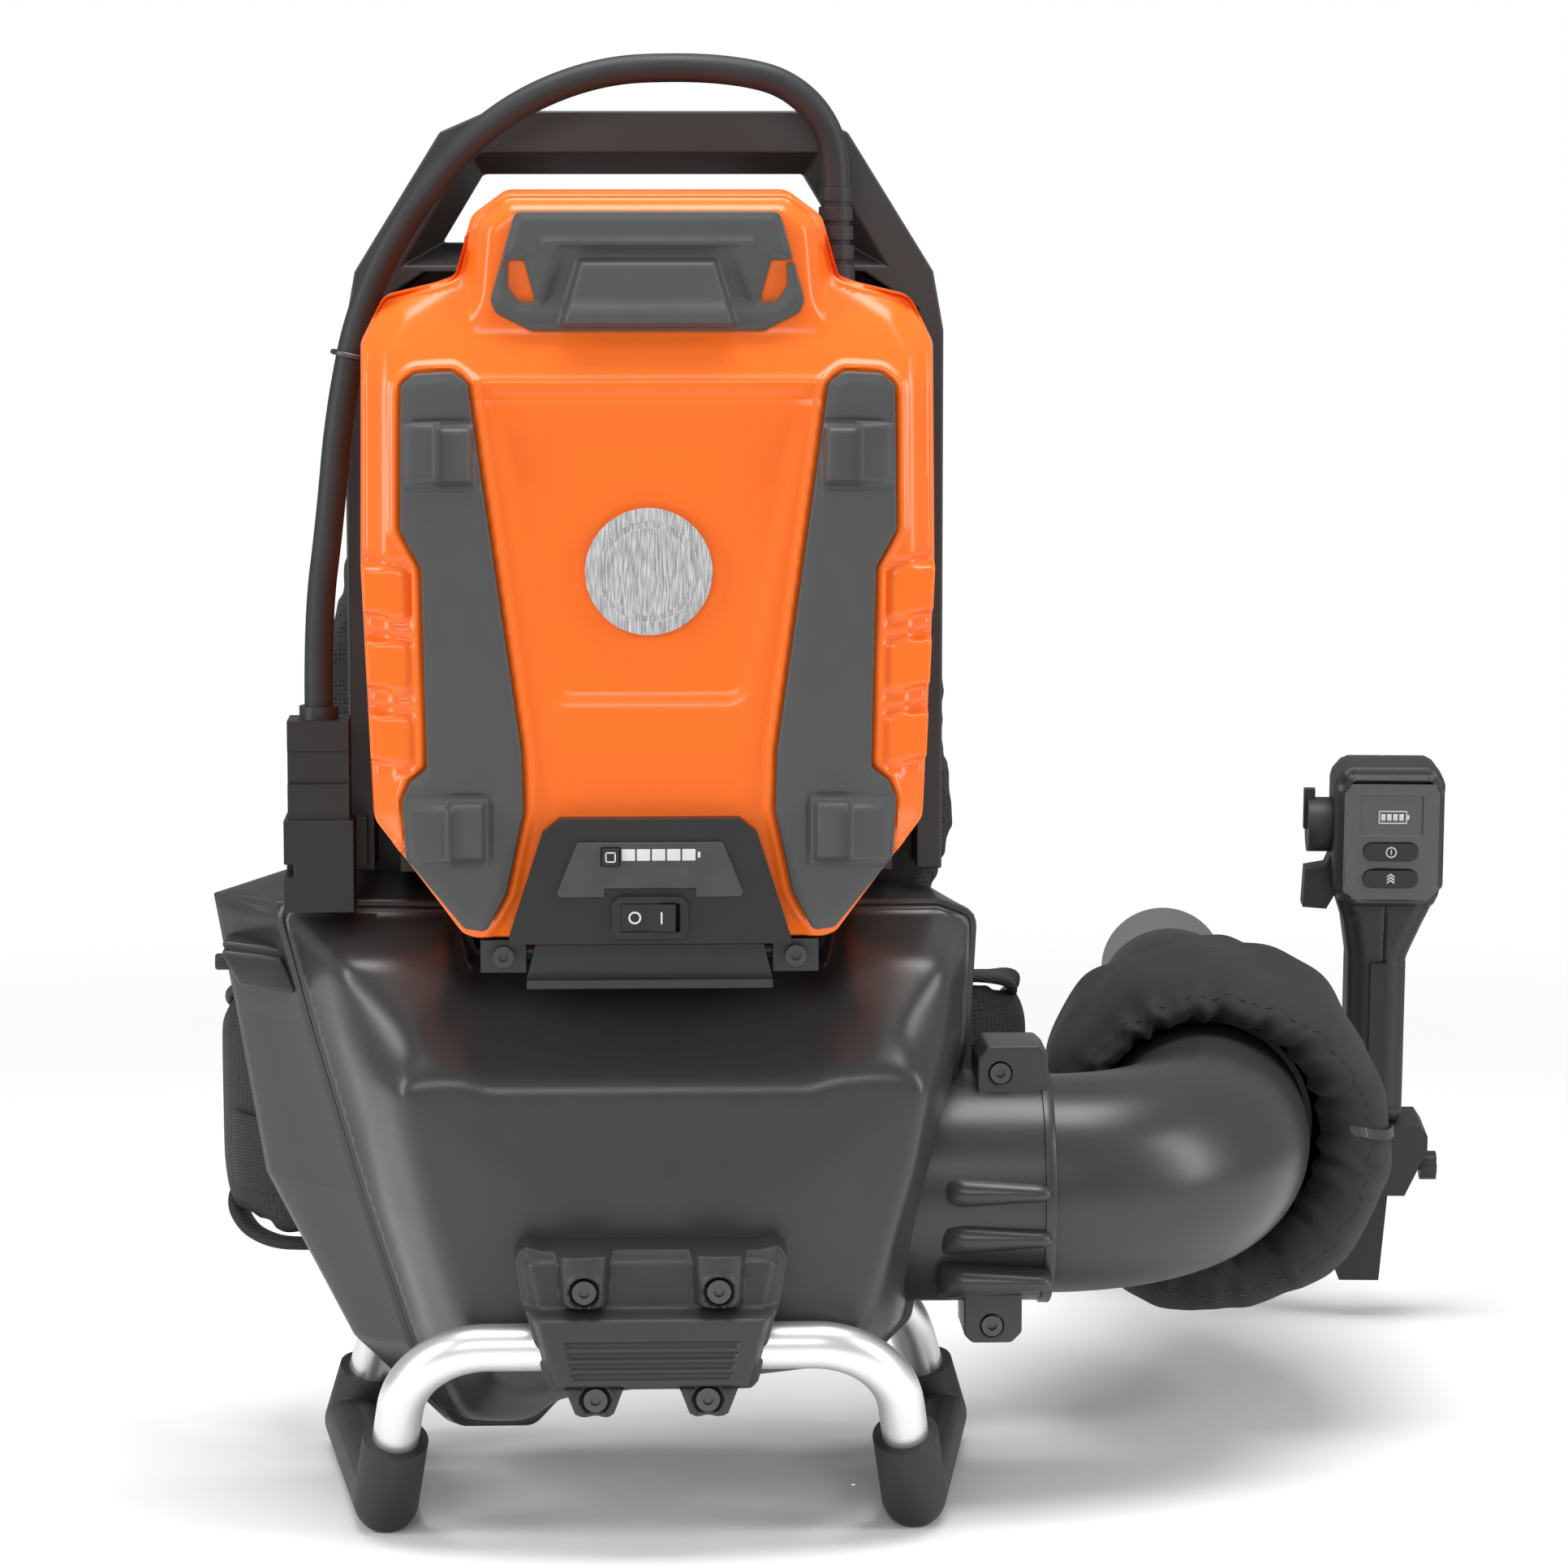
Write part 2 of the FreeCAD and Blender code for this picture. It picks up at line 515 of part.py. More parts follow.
def leg_bracket():
    """Clamp plate that holds the front bow to the casing, with two domed bosses, a ribbed band and two ears."""
    upper = mirrored([(52, 145), (62, 138), (57, 100)])
    body = loft([(CASING_FACE, upper), (-128, inset(upper, 2))])
    lower = mirrored([(57, 116), (55, 111), (48, 81)])
    body = body.fuse(loft([(-104, lower), (-136, lower), (-141, inset(lower, 3))]))
    for x, z in BRACKET_TOP_SCREWS:
        body = body.fuse(rod((x, -140, z), (0, 1, 0), 10, 14))
    for x, z in BRACKET_LOW_SCREWS:
        body = body.fuse(plate([(x - 12, 84), (x + 12, 84), (x + 8, 66), (x - 8, 66)], -130, -108))
    for z in (90.5, 96.5, 102.5):
        body = body.fuse(box(-39, 39, -142.5, -140, z - 1.6, z + 1.6))
    body = body.cut(rod((-80, FRONT_BAR.y, FRONT_BAR.z), (1, 0, 0), BOW_RADIUS + RUNNING, 160))
    for x, z in BRACKET_TOP_SCREWS:
        body = body.cut(rod((x, -141, z), (0, 1, 0), 5.6, 6)).cut(rod((x, -136, z), (0, 1, 0), 2.6, 45))
    for x, z in BRACKET_LOW_SCREWS:
        body = body.cut(rod((x, -131, z), (0, 1, 0), 5.6, 4)).cut(rod((x, -128, z), (0, 1, 0), 2.6, 30))
    return body


def bracket_screws():
    """Four cap screws of the leg bracket."""
    screws = [screw((x, -138, z), (0, 1, 0), 5.5, 3, 2.55, 36) for x, z in BRACKET_TOP_SCREWS]
    screws += [screw((x, -130, z), (0, 1, 0), 5.5, 3, 2.55, 18) for x, z in BRACKET_LOW_SCREWS]
    return Part.makeCompound(screws)


def rear_bow_clamps():
    """Two blocks that hang the rear bow from the plate's lower edge."""
    blocks = []
    for side in (-1, 1):
        block = box(side * REAR_CLAMP_X - 12, side * REAR_CLAMP_X + 12, 43, 71, 74, FRAME_BOTTOM)
        bore = rod((side * REAR_CLAMP_X - 20, REAR_BAR.y, REAR_BAR.z), (1, 0, 0), BOW_RADIUS + RUNNING, 40)
        blocks.append(block.cut(bore))
    return Part.makeCompound(blocks)


# ---------------------------------------------------------------- battery
BATTERY_OUTLINE = mirrored([(90, 587), (120, 580), (130, 560), (131, 458), (126, 342), (86, 289),
                            (80, BATTERY_BOTTOM)])
BATTERY_MID, BATTERY_MID_OUTLINE = -100.0, mirrored([(88, 567), (115, 561), (127, 546), (129, 458), (124, 343), (84.5, 290.5),
                                                     (79, BATTERY_BOTTOM + 1)])
BATTERY_FACE_OUTLINE = mirrored([(84, 556), (110, 550), (120, 535), (122, 458), (118, 345), (82, 293),
                                 (78, BATTERY_BOTTOM + 3)])
HUMP_OUTLINE = mirrored([(64, 628), (79, 617), (88, 585), (88, 560)])
CABLE_EXIT = V(90, -12, 630)
CONSOLE_BACK, CONSOLE_FACE = BATTERY_FACE, -126.0
CONSOLE_OUTLINE = mirrored([(41, 344.5), (49, 338), (64.5, 290), (64.5, BATTERY_BOTTOM)])
BEZEL_FACE = -129.0
ROCKER_Z, ROCKER_HALF, ROCKER_HEIGHT = 299.5, 12.5, 12.5
ROCKER_PIVOT_Y = -121.0
ROCKER_REST = -6.0
CHARGE_X, CHARGE_Z, CHARGE_SIZE = -18.0, 327.5, 8.0


def battery_front_shell():
    """Front half of the battery housing with the front of its carry hump."""
    outer = loft([(BATTERY_SPLIT, BATTERY_OUTLINE), (BATTERY_MID, BATTERY_MID_OUTLINE),
                  (BATTERY_FACE, BATTERY_FACE_OUTLINE)])
    outer = outer.fuse(loft([(BATTERY_SPLIT, HUMP_OUTLINE), (-94, inset(HUMP_OUTLINE, 1)),
                             (HUMP_FACE, inset(HUMP_OUTLINE, 6))]))
    inner = loft([(BATTERY_SPLIT, inset(BATTERY_OUTLINE, WALL)), (BATTERY_MID, inset(BATTERY_MID_OUTLINE, WALL)),
                  (BATTERY_FACE + WALL, inset(BATTERY_FACE_OUTLINE, WALL))])
    inner = inner.fuse(loft([(BATTERY_SPLIT, inset(HUMP_OUTLINE, WALL)), (HUMP_FACE + WALL, inset(HUMP_OUTLINE, 9))]))
    return outer.cut(inner)


def battery_rear_form():
    """Outer form of the rear half of the battery housing."""
    body = loft([(BATTERY_SPLIT, BATTERY_OUTLINE), (BATTERY_BACK, inset(BATTERY_OUTLINE, 4))])
    return body.fuse(loft([(BATTERY_SPLIT, HUMP_OUTLINE), (HUMP_BACK, inset(HUMP_OUTLINE, 4))]))


def battery_rear_shell():
    """Rear half of the battery housing."""
    outer = battery_rear_form()
    inner = loft([(BATTERY_SPLIT, inset(BATTERY_OUTLINE, WALL)), (BATTERY_BACK - WALL, inset(BATTERY_OUTLINE, WALL + 4))])
    inner = inner.fuse(loft([(BATTERY_SPLIT, inset(HUMP_OUTLINE, WALL)), (HUMP_BACK - WALL, inset(HUMP_OUTLINE, 7))]))
    return outer.cut(inner)


BUMPER_OUTLINE = [(112, 540), (104, 547), (86, 547), (78, 536), (57, 352), (73, 291), (84, 293), (110, 328),
                  (111, 361), (101, 368), (103, 458), (112, 477)]


def battery_bumper():
    """Guard panel on the right of the battery's face with its upper and lower bosses."""
    body = loft([(BATTERY_FACE, BUMPER_OUTLINE), (-119, BUMPER_OUTLINE), (-121, inset(BUMPER_OUTLINE, 2))])
    body = body.fuse(loft([(-120, [(84, 522), (110, 522), (110, 496), (84, 496)]),
                           (-128, [(87, 519), (99, 519), (99, 498), (87, 498)])]))
    return body.fuse(loft([(-120, [(76, 352), (106, 352), (106, 326), (76, 326)]),
                           (-128, [(79, 349), (92, 349), (92, 328), (79, 328)])]))


INSERT_OUTLINE = mirrored([(59, 619), (72, 580), (52, 566)])
INSERT_SLOT = [(56.5, 599), (64, 599), (64, 577), (59, 577)]


def battery_handle_insert():
    """Grip panel of the battery's hump with two finger slots."""
    body = loft([(HUMP_FACE, INSERT_OUTLINE), (-106, INSERT_OUTLINE), (-108, inset(INSERT_OUTLINE, 2))])
    raised = mirrored([(29, 598), (36, 577)])
    body = body.fuse(loft([(-107, inset(raised, -3)), (-111, raised)]))
    for side in (-1, 1):
        body = body.cut(plate([(side * x, z) for x, z in INSERT_SLOT], HUMP_FACE - 6, HUMP_FACE))
    return body


def battery_badge():
    """Plain round metal badge."""
    disc = rod((0, BATTERY_FACE - 2, 457), (0, 1, 0), 29, 2)
    return disc.cut(ring((0, BATTERY_FACE - 3, 457), (0, 1, 0), 23, 20, 2))


def battery_console():
    """Control block at the battery's foot, with the well of the rocker and the button's hole."""
    body = plate(CONSOLE_OUTLINE, CONSOLE_FACE, CONSOLE_BACK)
    half, high = ROCKER_HALF + 1, ROCKER_HEIGHT / 2 + BUTTON_GAP
    body = body.cut(box(-half, half, CONSOLE_FACE - 1, CONSOLE_BACK - 1.5, ROCKER_Z - high, ROCKER_Z + high))
    body = body.cut(rod((0, ROCKER_PIVOT_Y, ROCKER_Z - high - 3), (0, 0, 1), 1.5 + RUNNING, 2 * high + 6))
    size = CHARGE_SIZE / 2 + BUTTON_GAP
    return body.cut(box(CHARGE_X - size, CHARGE_X + size, CONSOLE_FACE - 1, CONSOLE_BACK - 2, CHARGE_Z - size,
                        CHARGE_Z + size))


def display_plate():
    """Panel with the charge window round the charge button."""
    shape = mirrored([(33, 334), (42.5, 311), (41, 309)])
    body = plate(shape, CONSOLE_FACE - 1.5, CONSOLE_FACE)
    size = CHARGE_SIZE / 2 + BUTTON_GAP
    body = body.cut(box(CHARGE_X - size, CHARGE_X + size, CONSOLE_FACE - 2, CONSOLE_FACE + 1, CHARGE_Z - size,
                        CHARGE_Z + size))
    return body.cut(box(-21, 21, CONSOLE_FACE - 2, CONSOLE_FACE + 1, 290, 313))


def rocker_bezel():
    """Frame round the rocker switch."""
    wide, tall, corner = ROCKER_HALF + 5, ROCKER_HEIGHT / 2 + 3.3, 3
    outer = mirrored([(wide - corner, ROCKER_Z + tall), (wide, ROCKER_Z + tall - corner),
                      (wide, ROCKER_Z - tall + corner), (wide - corner, ROCKER_Z - tall)])
    body = plate(outer, BEZEL_FACE, CONSOLE_FACE)
    high = ROCKER_HEIGHT / 2 + BUTTON_GAP
    return body.cut(box(-ROCKER_HALF - 1, ROCKER_HALF + 1, BEZEL_FACE - 1, CONSOLE_FACE + 1, ROCKER_Z - high,
                        ROCKER_Z + high))


def rocker_switch():
    """Rocker with its pin, resting on its left half."""
    low, high = ROCKER_Z - ROCKER_HEIGHT / 2, ROCKER_Z + ROCKER_HEIGHT / 2
    face = [V(-ROCKER_HALF, -130, low), V(0, -128.4, low), V(ROCKER_HALF, -130, low),
            V(ROCKER_HALF - 1.5, -123, low), V(4, -118.5, low), V(-4, -118.5, low), V(-ROCKER_HALF + 1.5, -123, low)]
    body = Part.Face(Part.makePolygon(face + face[:1])).extrude(V(0, 0, high - low))
    pin = rod((0, ROCKER_PIVOT_Y, low - 2.5), (0, 0, 1), 1.5, high - low + 5)
    body = body.fuse(pin)
    body.rotate(V(0, ROCKER_PIVOT_Y, ROCKER_Z), Z_AXIS, ROCKER_REST)
    return body


def charge_button():
    """Square push button of the charge display."""
    size = CHARGE_SIZE / 2
    return box(CHARGE_X - size, CHARGE_X + size, CONSOLE_FACE - 3.2, CONSOLE_BACK - 5, CHARGE_Z - size,
               CHARGE_Z + size)


MODULES_FOOT, MODULE_HEIGHT, MODULE_COUNT = 334.0, 44.0, 6


def cell_modules():
    """Shrink-wrapped cell modules stacked in the housing, the lowest one narrower."""
    floor = BATTERY_BOTTOM + WALL + 3.3
    blocks = [box(-72, 72, -90, -18, floor, MODULES_FOOT)]
    for k in range(MODULE_COUNT - 1):
        low = MODULES_FOOT + MODULE_HEIGHT * k
        blocks.append(box(-108, 108, -92, -16, low, low + MODULE_HEIGHT))
    return Part.makeCompound(blocks)


def battery_board():
    """Battery management board above the modules."""
    seat = MODULES_FOOT + MODULE_HEIGHT * (MODULE_COUNT - 1)
    return box(-80, 80, -86, -36, seat, seat + 2).fuse(box(-60, -20, -70, -44, seat + 2, seat + 10))


# ---------------------------------------------------------------- cable
PLUG_X, PLUG_Y, PLUG_TOP, PLUG_BOTTOM = -155.5, -20.0, 380.0, 333.0
PLUG_NECK = 6.0
CABLE_POINTS = [CABLE_EXIT, V(90, -12, 647), V(83, -13, 663.5), V(70.5, -14, 676), V(54, -15.5, 683), V(22, -18, 686.5),
                V(-24, -20.5, 684.5), V(-70, -22.5, 664), V(-107, -24, 625), V(-133, -26, 578), V(-144, -27, 526),
                V(-149, -26, 474), V(PLUG_X, PLUG_Y, 428), V(PLUG_X, PLUG_Y, PLUG_TOP + PLUG_NECK)]
CLIP_RUN = (9, 10)      # the clip holds the middle of the run between these two points
SOCKET_BOTTOM = 289.0


def cable_boot():
    """Tapered, ribbed strain relief on the battery's shoulder."""
    foot_z = 580.0
    body = Part.makeCone(9.5, CABLE_RADIUS + 0.8, CABLE_EXIT.z - foot_z, V(CABLE_EXIT.x, CABLE_EXIT.y, foot_z))
    for z in (594, 603, 612, 621):
        body = body.cut(ring((CABLE_EXIT.x, CABLE_EXIT.y, z), (0, 0, 1), 12, CABLE_RADIUS + 0.2, 2.5))
    return body.cut(battery_rear_form())


def cable_plug():
    """Locking plug at the cable's end."""
    body = box(PLUG_X - 14.5, PLUG_X + 14.5, PLUG_Y - 14, PLUG_Y + 14, PLUG_BOTTOM, PLUG_TOP)
    body = body.cut(box(PLUG_X - 20, PLUG_X + 20, PLUG_Y - 15, PLUG_Y - 12, 350, 366))
    return body.fuse(rod((PLUG_X, PLUG_Y, PLUG_TOP), (0, 0, 1), CABLE_RADIUS + 2.5, PLUG_NECK))


def cable_socket():
    """Socket of the machine's side, screwed to the front of the frame's rim."""
    body = box(PLUG_X - 16.5, PLUG_X + 16.5, PLUG_Y - 16, PLUG_Y + 17, SOCKET_BOTTOM, PLUG_BOTTOM)
    body = body.fuse(box(-158, -FRAME_HALF_WIDTH + 9, PLUG_Y + 17, RIM_FRONT, 306, 330))
    return body.cut(box(PLUG_X - 20, PLUG_X - 12, PLUG_Y - 17, PLUG_Y + 8, 306, 312))


def cable_clip():
    """Wire clip that ties the cable to the frame's rim."""
    above, below = (CABLE_POINTS[i] for i in CLIP_RUN)
    centre = (above + below) * 0.5
    loop = Part.makeTorus(CABLE_RADIUS + 1.6, 1.3, centre, above - below)
    stem_start = centre + V(0, CABLE_RADIUS + 1.6, 0)
    stem = Part.makeCylinder(1.3, RIM_FRONT - stem_start.y, stem_start, Y_AXIS)
    return loop.fuse(stem)


# ---------------------------------------------------------------- elbow, hose and tube
def elbow_pipe():
    """Swivelling pipe bend between the collar and the hose."""
    turn = math.radians(ELBOW_TURN)
    centre = V(COLLAR_END, ELBOW_BEND, OUTLET_Z)
    end = centre + V(ELBOW_BEND * math.sin(turn), -ELBOW_BEND * math.cos(turn), 0)
    middle = centre + V(ELBOW_BEND * math.sin(turn / 2), -ELBOW_BEND * math.cos(turn / 2), 0)
    start = V(COLLAR_SEAT + 0.5, 0, OUTLET_Z)
    knee = V(COLLAR_END, 0, OUTLET_Z)
    tail = end + V(math.cos(turn), math.sin(turn), 0) * ELBOW_TAIL
    path = Part.Wire([Part.LineSegment(start, knee).toShape(), Part.Arc(knee, middle, end).toShape(),
                      Part.LineSegment(end, tail).toShape()])
    body = swept(path, ELBOW_RADIUS).cut(swept(path, ELBOW_RADIUS - DUCT_WALL))
    body.rotate(V(0, 0, OUTLET_Z), X_AXIS, HOSE_TILT)
    return body


def hose_bellows():
    """Flexible hose inside the sleeve, from the elbow's end to the tube."""
    grip, tube = ELBOW_RADIUS + SOFT_GAP, TUBE_RADIUS + SOFT_GAP
    return in_hose_frame(turned([(24, grip), (24, grip + 3), (58, grip + 3), (138, tube + 4), (166, tube + 3),
                                 (166, tube), (140, tube), (58, grip)]))


SLEEVE_WALL = 4.0
SLEEVE_STATIONS = [(SLEEVE_START, 80, 12), (60, 88, 14), (130, 82, 11), (200, 60, 4),
                   (SLEEVE_END, TUBE_RADIUS + SOFT_GAP + SLEEVE_WALL, 0)]


def sleeve_body(shrink):
    """Loft through the sleeve's rings: place along the hose, radius and offset to the right."""
    rings = []
    for s, radius, offset in SLEEVE_STATIONS:
        rings.append(Part.Wire(Part.Circle(V(offset, s, 0), Y_AXIS, radius - shrink).toShape()))
    return Part.makeLoft(rings, True, True)


def hose_sleeve():
    """Loose fabric sleeve round the hose."""
    return in_hose_frame(sleeve_body(0).cut(sleeve_body(SLEEVE_WALL)))


def blow_tube():
    """Rigid tube that carries the handset, open at its far end."""
    bore = TUBE_RADIUS - TUBE_WALL
    return in_hose_frame(turned([(TUBE_START, bore), (TUBE_START, TUBE_RADIUS), (TUBE_END - 2, TUBE_RADIUS),
                                 (TUBE_END, TUBE_RADIUS - 1), (TUBE_END, bore)]))


# ---------------------------------------------------------------- handset, in the hose's own frame
HEAD_LEFT, HEAD_RIGHT, HEAD_FRONT = 86.0, 146.0, -22.0
CLAMP_HALF = 13.0


def grip_section(w, left, right, front, back):
    """Level outline of the handset at a height w."""
    bevel = 5.0
    points = [(left + bevel, front), (right - bevel, front), (right, front + bevel), (right, back - bevel),
              (right - bevel, back), (left + bevel, back), (left, back - bevel), (left, front + bevel)]
    corners = [V(u, HANDSET_S + s, w) for u, s in points]
    return Part.makePolygon(corners + corners[:1])


GRIP_LEVELS = [(-64, 96, 128, -19, 19), (30, 96, 128, -19, 19), (50, 93, 136, HEAD_FRONT, 20),
               (72, HEAD_LEFT, HEAD_RIGHT, HEAD_FRONT, 21), (130, HEAD_LEFT + 1, HEAD_RIGHT, HEAD_FRONT, 20),
               (138, 93, 140, HEAD_FRONT + 3, 16)]
TRIGGER_PIVOT = (90.0, 0.0, 84.0)
DIAL_U, DIAL_W, DIAL_RADIUS = 73.0, 102.0, 15.0


def grip_shape(shrink):
    """Handset body through its level outlines."""
    levels = [(w, a + shrink, b - shrink, f + shrink, k - shrink) for w, a, b, f, k in GRIP_LEVELS]
    first, last = levels[0], levels[-1]
    levels[0] = (first[0] + shrink,) + first[1:]
    levels[-1] = (last[0] - shrink,) + last[1:]
    return Part.makeLoft([grip_section(*level) for level in levels], True, True)


BUTTONS = {"power_button": 92.0, "boost_button": 77.0}
PANEL_MID, BUTTON_HALF, BUTTON_HIGH = 117.0, 15.0, 9.5


def button_block(w, gap, front, back):
    """Oblong block of a push button at a height w, grown by a gap."""
    high = BUTTON_HIGH / 2 + gap
    body = box(PANEL_MID - BUTTON_HALF + high, PANEL_MID + BUTTON_HALF - high, HANDSET_S + front, HANDSET_S + back,
               w - high, w + high)
    for side in (-1, 1):
        centre = (PANEL_MID + side * (BUTTON_HALF - high), HANDSET_S + front, w)
        body = body.fuse(rod(centre, (0, 1, 0), high, back - front))
    return body


def grip_halves():
    """The handset's two moulded halves, hollow, with the openings for buttons and trigger."""
    body = grip_shape(0).cut(grip_shape(WALL))
    for w in BUTTONS.values():
        body = body.cut(button_block(w, BUTTON_GAP, HEAD_FRONT - 1, HEAD_FRONT + 8))
    u, s, w = TRIGGER_PIVOT
    body = body.cut(box(60, u + 6, HANDSET_S - 9, HANDSET_S + 9, 52, w + 4))
    split = PANEL_MID - 2
    left = body.common(box(60, split, HANDSET_S - 40, HANDSET_S + 40, -100, 150))
    right = body.cut(box(60, split, HANDSET_S - 40, HANDSET_S + 40, -100, 150))
    left = left.cut(rod((80, HANDSET_S, DIAL_W), (1, 0, 0), 4 + RUNNING, 12))
    post = box(u - 3, u + 3, HANDSET_S - 14, HANDSET_S - 9, w - 6, w + 6).fuse(
        box(u - 3, u + 3, HANDSET_S + 9, HANDSET_S + 14, w - 6, w + 6))
    pin_hole = rod((u, HANDSET_S - 20, w), (0, 1, 0), 2 + RUNNING, 40)
    left = left.fuse(post.common(grip_shape(1))).cut(pin_hole)
    return left, right


def handset_panel():
    """Display panel on the handset's face."""
    shape = mirrored([(22, 132), (26, 124), (26, 70), (20, 64)])
    shape = [(x + PANEL_MID, z) for x, z in shape]
    body = plate(shape, HANDSET_S + HEAD_FRONT - 2.5, HANDSET_S + HEAD_FRONT)
    body = body.common(box(80, 160, 0, 400, 60, 129.5))
    for w in BUTTONS.values():
        body = body.cut(button_block(w, BUTTON_GAP, HEAD_FRONT - 4, HEAD_FRONT + 2))
    window = box(PANEL_MID - 17, PANEL_MID + 17, HANDSET_S + HEAD_FRONT - 3, HANDSET_S + HEAD_FRONT - 1.5, 101, 123)
    return body.cut(window)


def throttle_trigger():
    """Trigger on the handset's left, hinged at its top."""
    u, s, w = TRIGGER_PIVOT
    shape = [(u - 4, w + 3), (u + 3, w + 3), (u + 3, w - 12), (84, 56), (71, 57), (72, w - 6), (u - 7, w - 4)]
    body = plate(shape, HANDSET_S - 8, HANDSET_S + 8)
    return body.fuse(rod((u, HANDSET_S - 13, w), (0, 1, 0), 2, 26))


def cruise_lever():
    """Speed-hold lever that turns on the handset's left side."""
    body = rod((DIAL_U, HANDSET_S, DIAL_W), (1, 0, 0), DIAL_RADIUS, HEAD_LEFT - DIAL_U - SOFT_GAP)
    body = body.fuse(box(DIAL_U - 2, DIAL_U + 4, HANDSET_S - 3, HANDSET_S + 3, DIAL_W - 2, DIAL_W + DIAL_RADIUS + 5))
    return body.fuse(rod((DIAL_U + 4, HANDSET_S, DIAL_W), (1, 0, 0), 4, 15))


KNOB_W = -92.0
KNOB_U = 131.0


def handle_clamp():
    """Ring round the tube with the arm and base that carry the grip, and the lower rest."""
    s0, s1 = HANDSET_S - CLAMP_HALF, HANDSET_S + CLAMP_HALF
    ring_body = rod((0, s0, 0), (0, 1, 0), TUBE_RADIUS + 5, s1 - s0)
    arm = plate([(10, -22), (10, -40), (88, -100), (128, -104), (130, -76), (94, -72)], s0, s1)
    base = plate([(90, -64), (138, -64), (142, -70), (142, -78), (130, -104), (92, -104)], HANDSET_S - 21,
                 HANDSET_S + 21)
    rest = plate([(94, -104), (122, -104), (118, -156), (96, -156), (92, -146), (98, -128)], HANDSET_S - 10,
                 HANDSET_S + 10)
    body = ring_body.fuse(arm).fuse(base).fuse(rest)
    body = body.cut(rod((0, s0 - 1, 0), (0, 1, 0), TUBE_RADIUS + RUNNING, s1 - s0 + 2))
    return body.cut(rod((KNOB_U - 20, HANDSET_S, KNOB_W), (1, 0, 0), 3 + RUNNING, 60))


def clamp_knob():
    """Knob whose screw tightens the handle clamp."""
    body = rod((KNOB_U + 9, HANDSET_S, KNOB_W), (1, 0, 0), 8, 9)
    body = body.fuse(rod((KNOB_U - 12, HANDSET_S, KNOB_W), (1, 0, 0), 3, 22))
    for k in range(6):
        groove = rod((9, 0, 0), (0, 0, 1), 2, 9)
        groove.rotate(V(0, 0, 0), Z_AXIS, 60 * k)
        groove.rotate(V(0, 0, 0), Y_AXIS, 90)
        groove.translate(V(KNOB_U + 9, HANDSET_S, KNOB_W))
        body = body.cut(groove)
    return body


def grip_insert():
    """Soft strip on the front of the grip."""
    return box(108, 117, HANDSET_S - 21, HANDSET_S - 19, -38, 28)


def housing_screws():
    """Cap screws of the dock's ears, the collar's lugs and the casing's seam."""
    screws = []
    for side in (-1, 1):
        x = side * (EAR_INNER + SHELF_HALF) / 2
        screws.append(screw((x, EAR_FRONT - 3, 278.5), (0, 1, 0), 5, 3, 2.9, 17))
    for x, z in (TOP_LUG_SCREW, BOTTOM_LUG_SCREW):
        screws.append(screw((x, LUG_FRONT - 1.5, z), (0, 1, 0), 5, 4, 2.5, 16))
    return Part.makeCompound(screws)


# ---------------------------------------------------------------- writing the sub-parts
def main():
    """Builds every sub-part and writes its file."""
    os.makedirs("parts", exist_ok=True)
    save(back_frame=back_frame(), battery_dock=battery_dock(), battery_catch=battery_catch(), back_pad=back_pad(),
         lumbar_pad=lumbar_pad(),
         shoulder_strap_left=shoulder_strap(LEFT_STRAP),
         shoulder_strap_right=shoulder_strap(RIGHT_STRAP),
         hip_wing_left=standing_pad(LEFT_WING, WING_THICKNESS), hip_wing_right=standing_pad(RIGHT_WING, WING_THICKNESS))
    save(fan_casing_front=fan_casing_front(), fan_casing_rear=fan_casing_rear(), intake_grille=intake_grille(),
         frame_isolators=frame_isolators(), outlet_collar=outlet_collar(), housing_screws=housing_screws())
    save(motor_mount=motor_mount(), motor_bearings=motor_bearings(), motor_stator=motor_stator(),
         motor_shaft=motor_shaft(), impeller=impeller(), motor_controller=motor_controller())
    save(foot_left=foot(-1), foot_right=foot(1), leg_bow_front=leg_bow(FRONT_BAR, 0, 1),
         leg_bow_rear=leg_bow(REAR_BAR, 5, 4), leg_bracket=leg_bracket(), bracket_screws=bracket_screws(),
         rear_bow_clamps=rear_bow_clamps())
    bumper = battery_bumper()
    save(battery_front_shell=battery_front_shell(), battery_rear_shell=battery_rear_shell(),
         battery_bumper_right=bumper, battery_bumper_left=flipped(bumper),
         battery_handle_insert=battery_handle_insert(), battery_badge=battery_badge(),
         battery_console=battery_console(), display_plate=display_plate(), rocker_bezel=rocker_bezel(),
         rocker_switch=rocker_switch(), charge_button=charge_button(), cell_modules=cell_modules(),
         battery_board=battery_board())
    radii = widest_radii(CABLE_POINTS)
    path = rounded_path(CABLE_POINTS, radii)
    cable = swept(path, CABLE_RADIUS)
    print("cable radii", [round(r) for r in radii], "length", round(path.Length, 1),
          "volume ratio", round(cable.Volume / (math.pi * CABLE_RADIUS ** 2 * path.Length), 4))
    save(battery_cable=cable, cable_boot=cable_boot(), cable_plug=cable_plug(), cable_socket=cable_socket(),
         cable_clip=cable_clip())
    save(elbow_pipe=elbow_pipe(), hose_bellows=hose_bellows(), hose_sleeve=hose_sleeve(), blow_tube=blow_tube())
    left, right = grip_halves()
    handset = dict(grip_left=left, grip_right=right, handset_panel=handset_panel(), grip_insert=grip_insert(),
                   throttle_trigger=throttle_trigger(), cruise_lever=cruise_lever(), handle_clamp=handle_clamp(),
                   clamp_knob=clamp_knob())
    for name, w in BUTTONS.items():
        handset[name] = button_block(w, 0, HEAD_FRONT - 4.5, HEAD_FRONT + 3)
    save(**{name: in_hose_frame(shape) for name, shape in handset.items()})


main()
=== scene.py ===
"""Looks of a battery backpack leaf blower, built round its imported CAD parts."""

